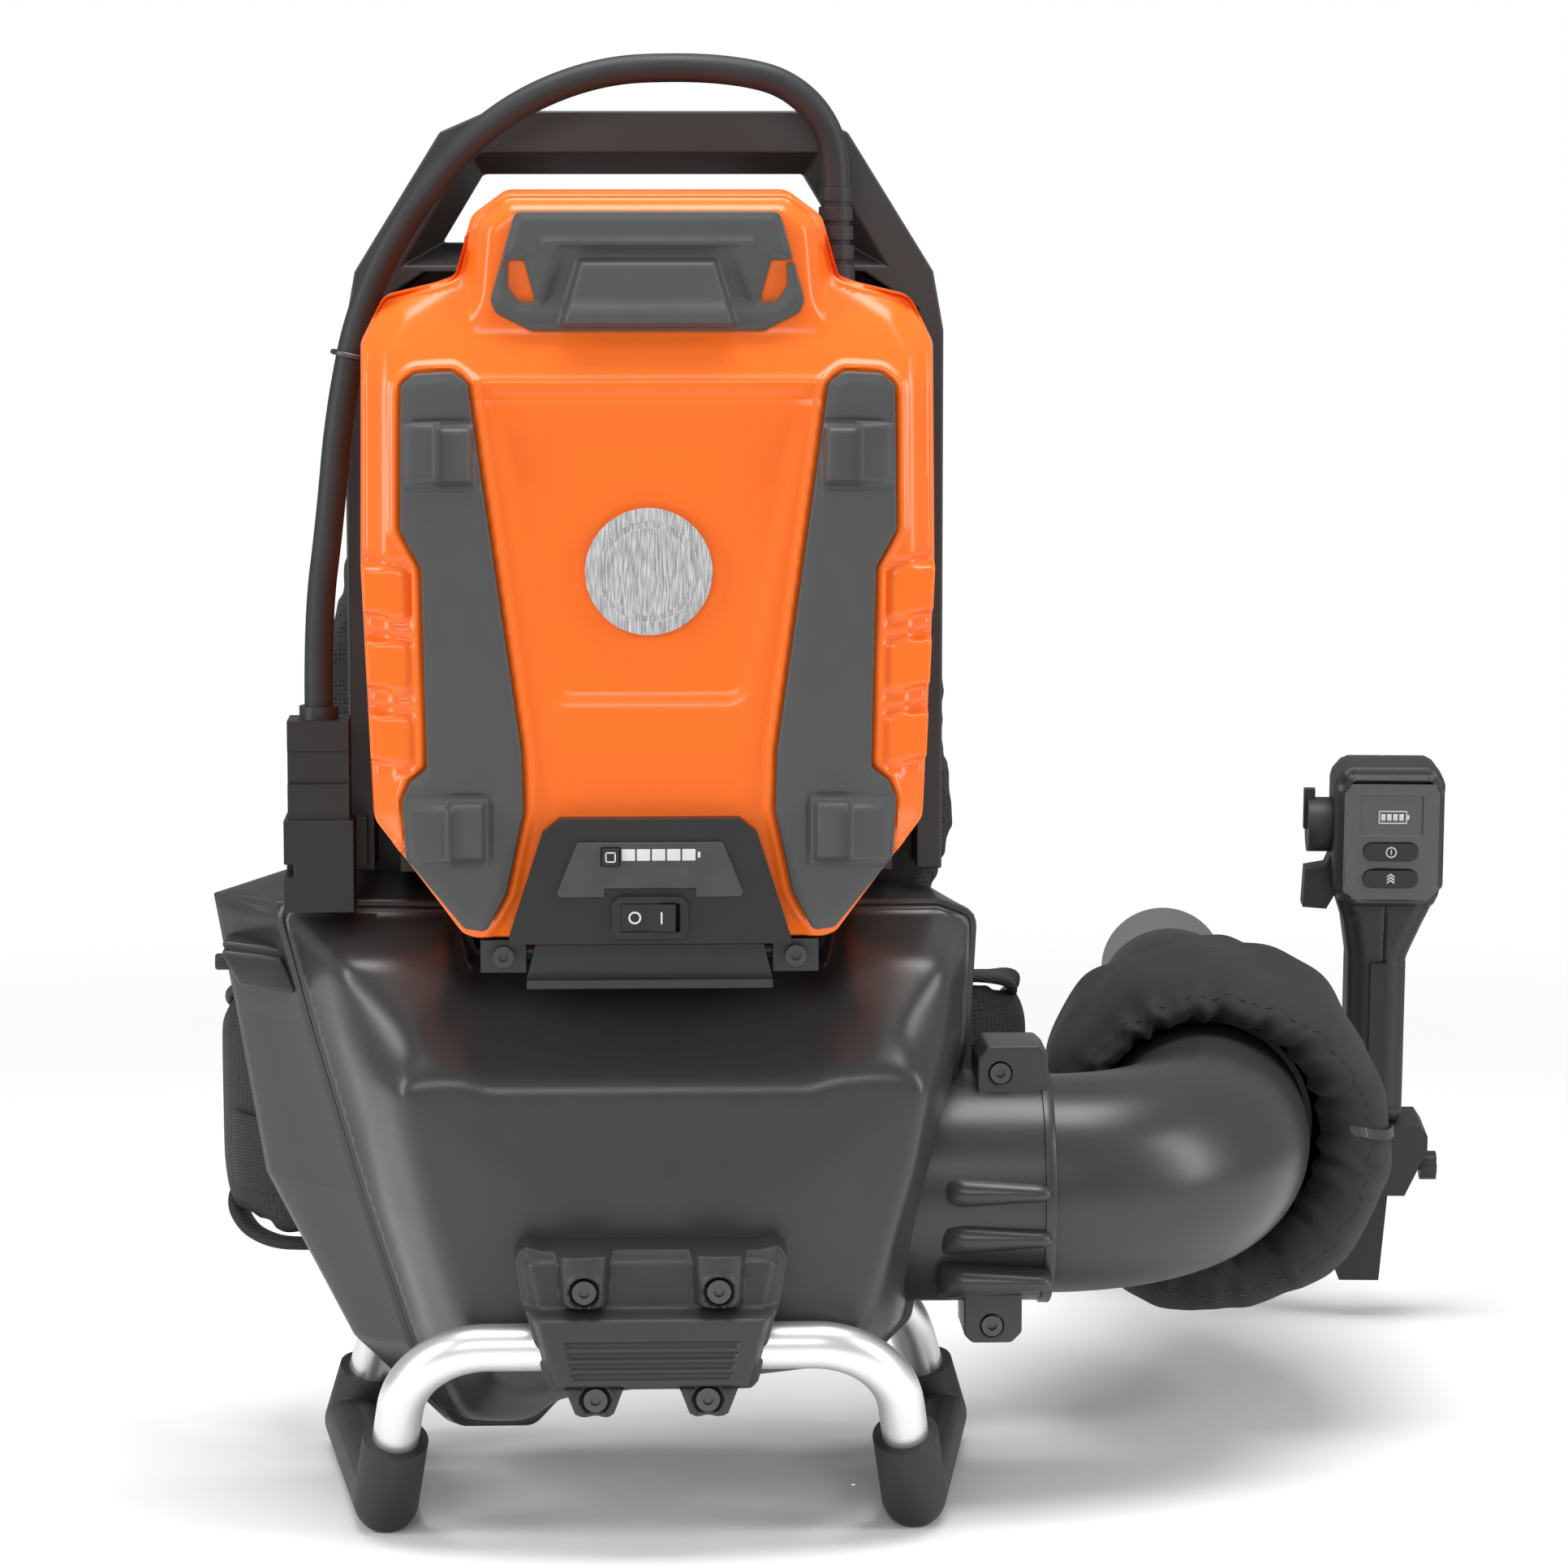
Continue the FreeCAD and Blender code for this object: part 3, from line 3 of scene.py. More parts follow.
import json
import logging
import math
from dataclasses import dataclass, field
from enum import Enum
from typing import Callable, Sequence

import bpy
import numpy as np
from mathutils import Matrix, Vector

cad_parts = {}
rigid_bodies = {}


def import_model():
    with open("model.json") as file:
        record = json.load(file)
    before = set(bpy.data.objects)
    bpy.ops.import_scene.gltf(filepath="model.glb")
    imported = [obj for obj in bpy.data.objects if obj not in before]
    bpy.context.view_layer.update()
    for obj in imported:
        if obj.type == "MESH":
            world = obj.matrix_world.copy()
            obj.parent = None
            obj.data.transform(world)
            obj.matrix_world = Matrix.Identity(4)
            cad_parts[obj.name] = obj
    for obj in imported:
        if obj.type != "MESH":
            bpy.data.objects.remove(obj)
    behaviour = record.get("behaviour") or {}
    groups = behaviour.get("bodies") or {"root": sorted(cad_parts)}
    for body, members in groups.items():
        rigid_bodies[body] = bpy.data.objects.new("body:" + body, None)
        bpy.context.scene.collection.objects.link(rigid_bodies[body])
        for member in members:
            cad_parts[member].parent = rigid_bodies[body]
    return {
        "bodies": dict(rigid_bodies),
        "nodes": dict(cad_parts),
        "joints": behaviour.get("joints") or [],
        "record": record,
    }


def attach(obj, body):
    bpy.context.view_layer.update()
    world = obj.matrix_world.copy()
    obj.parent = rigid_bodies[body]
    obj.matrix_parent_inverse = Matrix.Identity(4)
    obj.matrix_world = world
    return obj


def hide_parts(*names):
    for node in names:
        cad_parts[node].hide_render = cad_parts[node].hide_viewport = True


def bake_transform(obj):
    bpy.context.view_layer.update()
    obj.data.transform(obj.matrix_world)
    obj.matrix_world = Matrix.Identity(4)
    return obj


log = logging.getLogger("blower")
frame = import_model()
MM = 0.001
Outline = Sequence[tuple[float, float]]
Colour = tuple[float, float, float]


class Side(Enum):
    """Side of the machine, as the sign of x."""

    LEFT = -1
    RIGHT = 1


class Weave(Enum):
    """Build of a cloth."""

    PLAIN = "plain"
    SPACER = "spacer"
    WEBBING = "webbing"


# ---------------------------------------------------------------- shader maths
class Bench:
    """The node tree of one material or world."""

    def __init__(self, owner: bpy.types.Material | bpy.types.World) -> None:
        """Empties the node tree of that material or world."""
        self.owner = owner
        owner.use_nodes = True
        self.tree = owner.node_tree
        self.tree.nodes.clear()

    @classmethod
    def named(cls, name: str) -> "Bench":
        """Starts a new material of that name."""
        return cls(bpy.data.materials.new(name))

    def node(self, kind: str, settings: dict | None = None, values: dict | None = None) -> bpy.types.Node:
        """Adds one node.

        Args:
            kind: the node's type.
            settings: attributes set first; "stops" holds a ramp's (place, colour) pairs.
            values: what each input gets, a value, a signal or a socket.

        Returns:
            The node.
        """
        made = self.tree.nodes.new(kind)
        for key, value in (settings or {}).items():
            if key == "stops":
                while len(made.color_ramp.elements) < len(value):
                    made.color_ramp.elements.new(0.5)
                for stop, (place, colour) in zip(made.color_ramp.elements, value):
                    stop.position = place
                    stop.color = (*colour, 1.0)
            else:
                setattr(made, key, value)
        for key, value in (values or {}).items():
            if isinstance(value, Signal):
                self.tree.links.new(value.socket, made.inputs[key])
            elif isinstance(value, bpy.types.NodeSocket):
                self.tree.links.new(value, made.inputs[key])
            else:
                made.inputs[key].default_value = value
        return made

    def signal(self, kind: str, output: int | str = 0, settings: dict | None = None,
               values: dict | None = None) -> "Signal":
        """Adds one node and wraps one of its outputs."""
        return Signal(self, self.node(kind, settings, values).outputs[output])

    def place(self) -> "Signal":
        """Position on the object, in metres."""
        return self.signal("ShaderNodeTexCoord", "Object")

    def stretched(self, x: float, y: float, z: float) -> "Signal":
        """Position with each axis scaled."""
        return self.signal("ShaderNodeMapping", 0, None, {"Vector": self.place(), "Scale": (x, y, z)})

    def noise(self, scale: float, detail: float = 2.0, vector: "Signal | None" = None) -> "Signal":
        """Noise of about 0 to 1.

        Args:
            scale: cycles in a metre.
            detail: octaves.
            vector: where it is read, or None for the object's own place.

        Returns:
            The noise.
        """
        return self.signal("ShaderNodeTexNoise", 0, {"noise_dimensions": "3D"},
                           {"Vector": vector or self.place(), "Scale": scale, "Detail": detail})

    def tint(self, factor: "Signal", low: Colour, high: Colour) -> "Signal":
        """Colour that runs from low to high as factor runs from 0 to 1."""
        return self.signal("ShaderNodeMix", 2, {"data_type": "RGBA"},
                           {0: factor, 6: (*low, 1.0), 7: (*high, 1.0)})

    def bump(self, height: "Signal", depth_mm: float, strength: float = 1.0) -> "Signal":
        """Normal raised by height times depth_mm."""
        return self.signal("ShaderNodeBump", 0, None,
                           {"Height": height, "Distance": depth_mm * MM, "Strength": strength})

    def surface(self, values: dict) -> bpy.types.Material:
        """Closes the material with one Principled shader that gets those values."""
        shader = self.node("ShaderNodeBsdfPrincipled", None, values)
        self.node("ShaderNodeOutputMaterial", None, {"Surface": shader.outputs[0]})
        return self.owner


class Signal:
    """A socket of a material that takes part in sums."""

    def __init__(self, bench: Bench, socket: bpy.types.NodeSocket) -> None:
        """Wraps the socket of a node on that bench."""
        self.bench = bench
        self.socket = socket

    def maths(self, operation: str, *values: "Signal | float") -> "Signal":
        """Result of one Math node."""
        return self.bench.signal("ShaderNodeMath", 0, {"operation": operation}, dict(enumerate(values)))

    def __add__(self, other: "Signal | float") -> "Signal":
        """self + other."""
        return self.maths("ADD", self, other)

    def __radd__(self, other: float) -> "Signal":
        """other + self."""
        return self.maths("ADD", other, self)

    def __sub__(self, other: "Signal | float") -> "Signal":
        """self - other."""
        return self.maths("SUBTRACT", self, other)

    def __rsub__(self, other: float) -> "Signal":
        """other - self."""
        return self.maths("SUBTRACT", other, self)

    def __mul__(self, other: "Signal | float") -> "Signal":
        """self * other."""
        return self.maths("MULTIPLY", self, other)

    def __rmul__(self, other: float) -> "Signal":
        """other * self."""
        return self.maths("MULTIPLY", other, self)

    def sine(self) -> "Signal":
        """Sine of self, in radians."""
        return self.maths("SINE", self)

    def root(self) -> "Signal":
        """Square root of self."""
        return self.maths("SQRT", self)

    def step(self, low: float, high: float) -> "Signal":
        """Smooth step of self from 0 at low to 1 at high."""
        return self.bench.signal("ShaderNodeMapRange", 0, {"interpolation_type": "SMOOTHSTEP"},
                                 {"Value": self, "From Min": low, "From Max": high})

    def axis(self, name: str) -> "Signal":
        """One axis, X, Y or Z, of a vector signal."""
        return self.bench.signal("ShaderNodeSeparateXYZ", name, None, {0: self})


# ---------------------------------------------------------------- finishes
@dataclass(frozen=True)
class Finish:
    """What a surface is made of."""

    name: str
    colour: Colour
    roughness: float

    def build(self) -> bpy.types.Material:
        """Makes the material."""
        raise NotImplementedError

    def material(self) -> bpy.types.Material:
        """The material, made once."""
        return bpy.data.materials.get(self.name) or self.build()

    def shade(self, share: float) -> Colour:
        """The colour, darker or lighter by a share."""
        return tuple(min(1.0, c * share) for c in self.colour)


@dataclass(frozen=True)
class Moulding(Finish):
    """Injection moulded plastic with an etched grain."""

    grain_mm: float = 0.5
    grain_depth_mm: float = 0.02
    mottle: float = 0.06
    coat: float = 0.0
    shine: float = 0.5

    def build(self) -> bpy.types.Material:
        """Makes the plastic: etched grain, faint flow marks and handling haze."""
        bench = Bench.named(self.name)
        grain = bench.noise(1.0 / (self.grain_mm * MM), 3.0)
        flow = bench.noise(9.0, 3.0)
        haze = bench.noise(60.0, 2.0)
        tone = (flow * 0.6 + haze * 0.25 + grain * 0.15).step(0.3, 0.7)
        return bench.surface({
            "Base Color": bench.tint(tone, self.shade(1 - self.mottle), self.shade(1 + self.mottle)),
            "Roughness": self.roughness + (haze - 0.5) * 0.10 + (grain - 0.5) * 0.08,
            "Coat Weight": self.coat, "Coat Roughness": 0.12, "Specular IOR Level": self.shine,
            "Normal": bench.bump(grain, self.grain_depth_mm)})


@dataclass(frozen=True)
class DrawnTube(Finish):
    """Anodised aluminium tube with faint draw lines."""

    def build(self) -> bpy.types.Material:
        """Makes the metal."""
        bench = Bench.named(self.name)
        lines = bench.noise(1.0, 3.0, bench.stretched(60.0, 900.0, 900.0))
        cloud = bench.noise(25.0)
        return bench.surface({
            "Base Color": bench.tint((lines * 0.5 + cloud * 0.5).step(0.3, 0.7), self.shade(0.93),
                                     self.shade(1.04)),
            "Metallic": 1.0, "Roughness": self.roughness + (lines - 0.5) * 0.12,
            "Normal": bench.bump(lines, 0.01)})


@dataclass(frozen=True)
class BrushedPlate(Finish):
    """Sheet metal brushed along one direction."""

    def build(self) -> bpy.types.Material:
        """Makes the metal, with bright and dark strokes up and down."""
        bench = Bench.named(self.name)
        strokes = bench.noise(1.0, 4.0, bench.stretched(2600.0, 2600.0, 110.0))
        return bench.surface({
            "Base Color": bench.tint(strokes.step(0.35, 0.65), self.shade(0.55), self.shade(1.15)),
            "Metallic": 0.85, "Roughness": self.roughness + (strokes - 0.5) * 0.3,
            "Normal": bench.bump(strokes, 0.03)})


@dataclass(frozen=True)
class SoftRubber(Finish):
    """Black elastomer with a matt skin."""

    def build(self) -> bpy.types.Material:
        """Makes the rubber."""
        bench = Bench.named(self.name)
        skin = bench.noise(1800.0, 3.0)
        dust = bench.noise(35.0, 3.0)
        return bench.surface({
            "Base Color": bench.tint(dust.step(0.35, 0.75), self.colour, self.shade(1.5)),
            "Roughness": self.roughness + (dust - 0.5) * 0.2,
            "Normal": bench.bump(skin, 0.03)})


@dataclass(frozen=True)
class Cloth(Finish):
    """Woven or knitted cloth."""

    thread_mm: float = 0.9
    weave: Weave = Weave.PLAIN
    sheen: float = 0.2

    def relief(self, bench: Bench) -> Signal:
        """Height of the threads, 0 to 1."""
        turns = 2 * math.pi / (self.thread_mm * MM)
        spot = bench.place()
        x, y, z = (spot.axis(k) for k in "XYZ")
        if self.weave is Weave.SPACER:
            cells = bench.signal("ShaderNodeTexVoronoi", "Distance", {"feature": "F1"},
                                 {"Vector": spot, "Scale": 1.0 / (self.thread_mm * MM), "Randomness": 0.25})
            return cells.step(0.18, 0.45)
        if self.weave is Weave.WEBBING:
            return (z * turns + (x + y) * turns * 0.25).sine() * 0.5 + 0.5
        warp = ((x + y) * turns).sine()
        weft = (z * turns).sine()
        return warp * weft * 0.5 + 0.5

    def build(self) -> bpy.types.Material:
        """Makes the cloth: threads with painted shade, lighter on their crests and darker in their hollows,
        mottled dye and a dusty bloom.
        """
        bench = Bench.named(self.name)
        threads = self.relief(bench)
        dye = bench.noise(45.0, 3.0)
        fuzz = bench.noise(2200.0, 2.0)
        # painted shade: the colour follows the thread height, lighter on the crests and darker in the hollows
        # between threads
        tone = (threads * 0.55 + dye * 0.3 + fuzz * 0.15).step(0.15, 0.85)
        return bench.surface({
            "Base Color": bench.tint(tone, self.shade(0.45), self.shade(1.45)),
            "Roughness": self.roughness + (fuzz - 0.5) * 0.1,
            "Sheen Weight": self.sheen, "Sheen Roughness": 0.5,
            "Normal": bench.bump(threads * 0.8 + fuzz * 0.2, self.thread_mm * 0.25)})


@dataclass(frozen=True)
class GlossPanel(Finish):
    """Dark window or printed film with a clear coat."""

    def build(self) -> bpy.types.Material:
        """Makes the panel, with a faint haze of fingerprints."""
        bench = Bench.named(self.name)
        prints = bench.noise(90.0, 4.0)
        return bench.surface({
            "Base Color": bench.tint(prints.step(0.3, 0.8), self.colour, self.shade(1.12)),
            "Roughness": self.roughness + (prints - 0.5) * 0.12,
            "Coat Weight": 0.3, "Coat Roughness": 0.1})


FRAME_GREY = Moulding("frame_charcoal", (0.028, 0.0285, 0.0295), 0.46, 0.45, 0.035)
CASING_GREY = Moulding("casing_charcoal", (0.036, 0.036, 0.037), 0.31, 0.35, 0.012)
GUARD_GREY = Moulding("guard_grey", (0.060, 0.061, 0.063), 0.50, 0.4, 0.05)
ORANGE = Moulding("battery_orange", (1.0, 0.056, 0.0), 0.32, 0.30, 0.006, 0.02, 0.0, 0.3)
BLACK = Moulding("black_moulding", (0.011, 0.011, 0.0115), 0.48, 0.4, 0.03)
GRIP_GREY = Moulding("handset_grey", (0.018, 0.0185, 0.0195), 0.50, 0.35, 0.045)
TUBE_GREY = Moulding("tube_grey", (0.12, 0.121, 0.124), 0.42, 0.4, 0.02)
BOW_METAL = DrawnTube("bow_aluminium", (0.97, 0.97, 0.975), 0.24)
BADGE_METAL = BrushedPlate("badge_brushed", (0.80, 0.80, 0.81), 0.34)
SCREW_ZINC = DrawnTube("screw_black_zinc", (0.10, 0.10, 0.105), 0.38)
MACHINED = DrawnTube("machined_steel", (0.5, 0.5, 0.52), 0.3)
RUBBER = SoftRubber("soft_rubber", (0.014, 0.014, 0.015), 0.55)
NYLON = Cloth("sleeve_nylon", (0.0085, 0.0085, 0.009), 0.78, 0.8, Weave.PLAIN, 0.04)
SPACER = Cloth("spacer_mesh", (0.016, 0.0165, 0.018), 0.85, 2.2, Weave.SPACER, 0.06)
WEBBING = Cloth("webbing", (0.012, 0.012, 0.013), 0.7, 1.6, Weave.WEBBING, 0.05)
STITCH = SoftRubber("stitch_thread", (0.045, 0.045, 0.048), 0.7)
WINDOW = GlossPanel("display_window", (0.055, 0.056, 0.06), 0.22)
PALE_INK = GlossPanel("pale_mark", (0.62, 0.62, 0.63), 0.4)
CELL_WRAP = GlossPanel("cell_wrap", (0.05, 0.12, 0.3), 0.35)
BOARD = GlossPanel("board_green", (0.02, 0.16, 0.05), 0.4)


# ---------------------------------------------------------------- shapes, in millimetres
def mirrored(right: Outline) -> list[tuple[float, float]]:
    """Closed outline from its right half, listed from the top down."""
    return list(right) + [(-x, z) for x, z in reversed(right)]


def rounded(outline: Outline, radius: float, steps: int = 6) -> np.ndarray:
    """Polygon whose corners are arcs.

    Args:
        outline: corners in order.
        radius: corner radius, cut down where a side is short.
        steps: points on each arc.

    Returns:
        The points, one row each.
    """
    corners = np.array(outline, float)
    made = []
    for i, corner in enumerate(corners):
        before, after = corners[i - 1] - corner, corners[(i + 1) % len(corners)] - corner
        a, b = before / np.linalg.norm(before), after / np.linalg.norm(after)
        half = math.acos(max(-1.0, min(1.0, float(a @ b)))) / 2
        reach = min(radius / max(math.tan(half), 0.05), 0.45 * np.linalg.norm(before),
                    0.45 * np.linalg.norm(after))
        start, end = corner + a * reach, corner + b * reach
        for t in np.linspace(0, 1, steps):
            made.append((1 - t) ** 2 * start + 2 * t * (1 - t) * corner + t ** 2 * end)
    return np.array(made)


def depth_in(points: np.ndarray, polygon: np.ndarray) -> tuple[np.ndarray, np.ndarray]:
    """Distance inside a polygon, and the direction that leads out of it.

    Args:
        points: rows of two numbers.
        polygon: its corners in order.

    Returns:
        The distance, positive inside, and one unit vector for each point.
    """
    best = np.full(len(points), 1e18)
    foot = np.zeros_like(points)
    inside = np.zeros(len(points), bool)
    for a, b in zip(polygon, np.roll(polygon, -1, 0)):
        side = b - a
        t = np.clip(((points - a) @ side) / max(side @ side, 1e-12), 0, 1)
        near = a + t[:, None] * side
        gap = ((points - near) ** 2).sum(1)
        closer = gap < best
        best[closer] = gap[closer]
        foot[closer] = near[closer]
        crosses = (a[1] > points[:, 1]) != (b[1] > points[:, 1])
        with np.errstate(divide="ignore", invalid="ignore"):
            at = a[0] + (points[:, 1] - a[1]) * side[0] / (side[1] if side[1] else 1e-12)
        inside ^= crosses & (points[:, 0] < at)
    gap = np.sqrt(best)
    away = foot - points
    away[~inside] *= -1
    size = np.maximum(np.linalg.norm(away, axis=1), 1e-9)
    return np.where(inside, gap, -gap), away / size[:, None]


def soft(value: np.ndarray, low: float, high: float) -> np.ndarray:
    """Smooth step from 0 at low to 1 at high."""
    t = np.clip((value - low) / (high - low), 0, 1)
    return t * t * (3 - 2 * t)


def bump(value: np.ndarray, centre: float, width: float) -> np.ndarray:
    """Bell curve of height 1 at a centre."""
    return np.exp(-((value - centre) / width) ** 2)


def within(x: np.ndarray, z: np.ndarray, outline: Outline, radius: float) -> np.ndarray:
    """Distance inside an outline with rounded corners, negative outside it."""
    return depth_in(np.stack([x, z], 1), rounded(outline, radius))[0]


def outward(outline: np.ndarray) -> np.ndarray:
    """Unit vectors that lead out of a polygon, one at each corner."""
    turn = np.roll(outline, -1, 0) - np.roll(outline, 1, 0)
    normal = np.stack([turn[:, 1], -turn[:, 0]], 1)
    normal /= np.maximum(np.linalg.norm(normal, axis=1), 1e-9)[:, None]
    leads_out = ((outline - outline.mean(0)) * normal).sum() > 0
    return normal if leads_out else -normal


def upright(flat: np.ndarray, depth: float | np.ndarray) -> np.ndarray:
    """Points drawn in x and z, stood at a depth y."""
    return np.stack([flat[:, 0], np.full(len(flat), depth), flat[:, 1]], 1)


class Field:
    """Grid of depths over x and z that can be smoothed and read back."""

    def __init__(self, low: Sequence[float], high: Sequence[float], cell: float,
                 depth: Callable[[np.ndarray, np.ndarray], np.ndarray]) -> None:
        """Fills the grid with depth(x, z)."""
        self.low, self.cell = np.array(low, float), cell
        xs = np.arange(low[0], high[0] + cell, cell)
        zs = np.arange(low[1], high[1] + cell, cell)
        gx, gz = np.meshgrid(xs, zs, indexing="ij")
        self.grid = depth(gx.ravel(), gz.ravel()).reshape(gx.shape)

    def smooth(self, reach: float) -> "Field":
        """Blurs the grid over a distance and returns the field."""
        half = max(1, int(3 * reach / self.cell))
        taps = np.exp(-0.5 * (np.arange(-half, half + 1) * self.cell / reach) ** 2)
        taps /= taps.sum()
        for axis in (0, 1):
            padded = np.pad(self.grid, [(half, half) if a == axis else (0, 0) for a in (0, 1)], mode="edge")
            self.grid = np.apply_along_axis(lambda row: np.convolve(row, taps, mode="valid"), axis, padded)
        return self

    def read(self, x: np.ndarray, z: np.ndarray) -> np.ndarray:
        """Depths at the given places."""
        u = np.clip((x - self.low[0]) / self.cell, 0, self.grid.shape[0] - 1.001)
        v = np.clip((z - self.low[1]) / self.cell, 0, self.grid.shape[1] - 1.001)
        i, j = u.astype(int), v.astype(int)
        s, t = u - i, v - j
        g = self.grid
        return (g[i, j] * (1 - s) * (1 - t) + g[i + 1, j] * s * (1 - t) + g[i, j + 1] * (1 - s) * t
                + g[i + 1, j + 1] * s * t)


@dataclass
class Shape:
    """Points and faces of one piece, in millimetres."""

    points: np.ndarray = field(default_factory=lambda: np.zeros((0, 3)))
    faces: list = field(default_factory=list)

    def add(self, other: "Shape") -> "Shape":
        """Takes in another shape and returns this one."""
        base = len(self.points)
        self.points = np.vstack([self.points, other.points])
        self.faces += [tuple(i + base for i in f) for f in other.faces]
        return self

    def flipped(self) -> "Shape":
        """The shape mirrored left to right."""
        return Shape(self.points * (-1, 1, 1), [tuple(reversed(f)) for f in self.faces])

    def moved(self, change: Callable[[np.ndarray], np.ndarray]) -> "Shape":
        """The shape with its points put through a function."""
        return Shape(change(self.points), list(self.faces))


def skin(rings: Sequence[np.ndarray], cap_start: bool = True, cap_end: bool = True) -> Shape:
    """Closed rings of equal count joined in a row.

    Args:
        rings: rows of points, each the same count.
        cap_start: close the first ring.
        cap_end: close the last ring.

    Returns:
        The shape.
    """
    count = len(rings[0])
    points = np.vstack(rings)
    faces = [(r * count + i, r * count + (i + 1) % count, (r + 1) * count + (i + 1) % count,
              (r + 1) * count + i) for r in range(len(rings) - 1) for i in range(count)]
    if cap_start:
        faces.append(tuple(reversed(range(count))))
    if cap_end:
        faces.append(tuple(range((len(rings) - 1) * count, len(rings) * count)))
    return Shape(points, faces)


def prism(outline: np.ndarray, front: float, back: float, edge: float = 0.8) -> Shape:
    """Plate between two depths with a rolled front edge, its outline in x and z."""
    normal = outward(outline)
    rings = []
    for step in range(4):
        angle = math.pi / 2 * step / 3
        rings.append(upright(outline - normal * edge * (1 - math.sin(angle)),
                             front + edge * (1 - math.cos(angle))))
    return skin([*rings, upright(outline, back)])


def tile(x0: float, x1: float, z0: float, z1: float, depths: tuple[float, float], edge: float = 0.05,
         radius: float = 0.0) -> Shape:
    """Rectangular plate between a front and a back depth.

    Args:
        x0: left side.
        x1: right side.
        z0: foot.
        z1: top.
        depths: its front and back.
        edge: size of its rolled front edge.
        radius: corner radius.

    Returns:
        The plate.
    """
    corners = [(x0, z0), (x1, z0), (x1, z1), (x0, z1)]
    return prism(rounded(corners, radius, 3) if radius else np.array(corners), *depths, edge)


def flat_ring(centre: tuple[float, float], radii: tuple[float, float], depths: tuple[float, float]) -> Shape:
    """Flat ring in x and z, from its outer and inner radius and its front and back depth."""
    turn = np.linspace(0, 2 * math.pi, 40, endpoint=False)
    ring = np.stack([np.cos(turn), np.sin(turn)], 1)
    (outer, inner), (front, back) = radii, depths
    section = ((outer, back), (outer, front), (inner, front), (inner, back))
    return skin([upright(np.array(centre) + radius * ring, y) for radius, y in section], False, False)


def relief(outline: np.ndarray, face: Callable[..., np.ndarray], roll: float,
           walls: Sequence[tuple[float, float]], cell: float = 1.5, turns: int = 5,
           holes: Sequence[np.ndarray] = ()) -> Shape:
    """Moulded cover that faces -Y: a sculpted front, a rolled edge and side walls.

    Args:
        outline: its edge in x and z.
        face: depth y from x, z and the distance inside the edge.
        roll: radius of the rolled edge.
        walls: pairs of depth y and spread outwards, from the edge back.
        cell: size of the front's mesh.
        turns: steps on the rolled edge.
        holes: outlines left open.

    Returns:
        The shape, open at its back.
    """
    low, high = outline.min(0), outline.max(0)
    xs = np.arange(low[0], high[0] + cell, cell)
    zs = np.arange(low[1], high[1] + cell, cell)
    gx, gz = np.meshgrid(xs, zs, indexing="ij")
    flat = np.stack([gx.ravel(), gz.ravel()], 1)
    inside, out = depth_in(flat, outline)
    for hole in holes:
        gap, away = depth_in(flat, hole)
        nearer = -gap < inside
        inside[nearer], out[nearer] = -gap[nearer], -away[nearer]
    inside = inside - roll
    keep = (inside > -0.5 * cell).reshape(gx.shape)
    wide = len(zs)
    quads = []
    for i in range(len(xs) - 1):
        row = keep[i, :-1] & keep[i, 1:] & keep[i + 1, :-1] & keep[i + 1, 1:]
        for j in np.nonzero(row)[0]:
            quads.append((i * wide + j, (i + 1) * wide + j, (i + 1) * wide + j + 1, i * wide + j + 1))
    sides = {}
    for quad in quads:
        for a, b in zip(quad, quad[1:] + quad[:1]):
            if (b, a) in sides:
                del sides[(b, a)]
            else:
                sides[(a, b)] = True
    rim = sorted({i for pair in sides for i in pair})
    flat[rim] += out[rim] * inside[rim][:, None]
    used = sorted({i for quad in quads for i in quad})
    order = {old: new for new, old in enumerate(used)}
    flat, inside, out = flat[used], inside[used] + roll, out[used]
    edge = [order[i] for i in rim]
    inside[edge] = roll
    depth = face(flat[:, 0], flat[:, 1], inside)
    points = [upright(flat, depth)]
    faces = [tuple(order[i] for i in quad) for quad in quads]
    away = out[edge]
    stations = [(roll * math.sin(a), roll * (1 - math.cos(a)), None)
                for a in np.linspace(0, math.pi / 2, turns + 1)[1:]]
    stations += [(roll + spread, 0.0, at) for at, spread in walls]
    before = {i: i for i in edge}
    count = len(flat)
    for spread, drop, at in stations:
        here = flat[edge] + away * spread
        y = depth[edge] + drop if at is None else at
        points.append(upright(here, y))
        now = {i: count + k for k, i in enumerate(edge)}
        for a, b in sides:
            a, b = order[a], order[b]
            faces.append((before[b], before[a], now[a], now[b]))
        before = now
        count += len(edge)
    return Shape(np.vstack(points), faces)


def spline(points: Sequence[Sequence[float]], count: int) -> np.ndarray:
    """Smooth line through points, as evenly spaced rows."""
    p = np.array(points, float)
    ends = np.vstack([2 * p[0] - p[1], p, 2 * p[-1] - p[-2]])
    dense = []
    for k in range(1, len(ends) - 2):
        a, b, c, d = ends[k - 1:k + 3]
        t = np.linspace(0, 1, 24, endpoint=False)[:, None]
        dense.append(0.5 * (2 * b + (c - a) * t + (2 * a - 5 * b + 4 * c - d) * t ** 2
                            + (3 * b - a - 3 * c + d) * t ** 3))
    line = np.vstack([*dense, p[-1:]])
    length = np.concatenate([[0], np.cumsum(np.linalg.norm(np.diff(line, axis=0), axis=1))])
    at = np.linspace(0, length[-1], count)
    return np.stack([np.interp(at, length, line[:, k]) for k in range(line.shape[1])], 1)


def strip(line: np.ndarray, side: Sequence[float], section: np.ndarray) -> Shape:
    """Band along a line with a fixed cross-section, drawn in its sideways and upward directions."""
    forward = np.gradient(line, axis=0)
    forward /= np.linalg.norm(forward, axis=1)[:, None]
    sideways = np.array(side, float) - forward * (forward @ np.array(side, float))[:, None]
    sideways /= np.linalg.norm(sideways, axis=1)[:, None]
    up = np.cross(forward, sideways)
    return skin([spot + section[:, :1] * sideways[k] + section[:, 1:] * up[k] for k, spot in enumerate(line)])


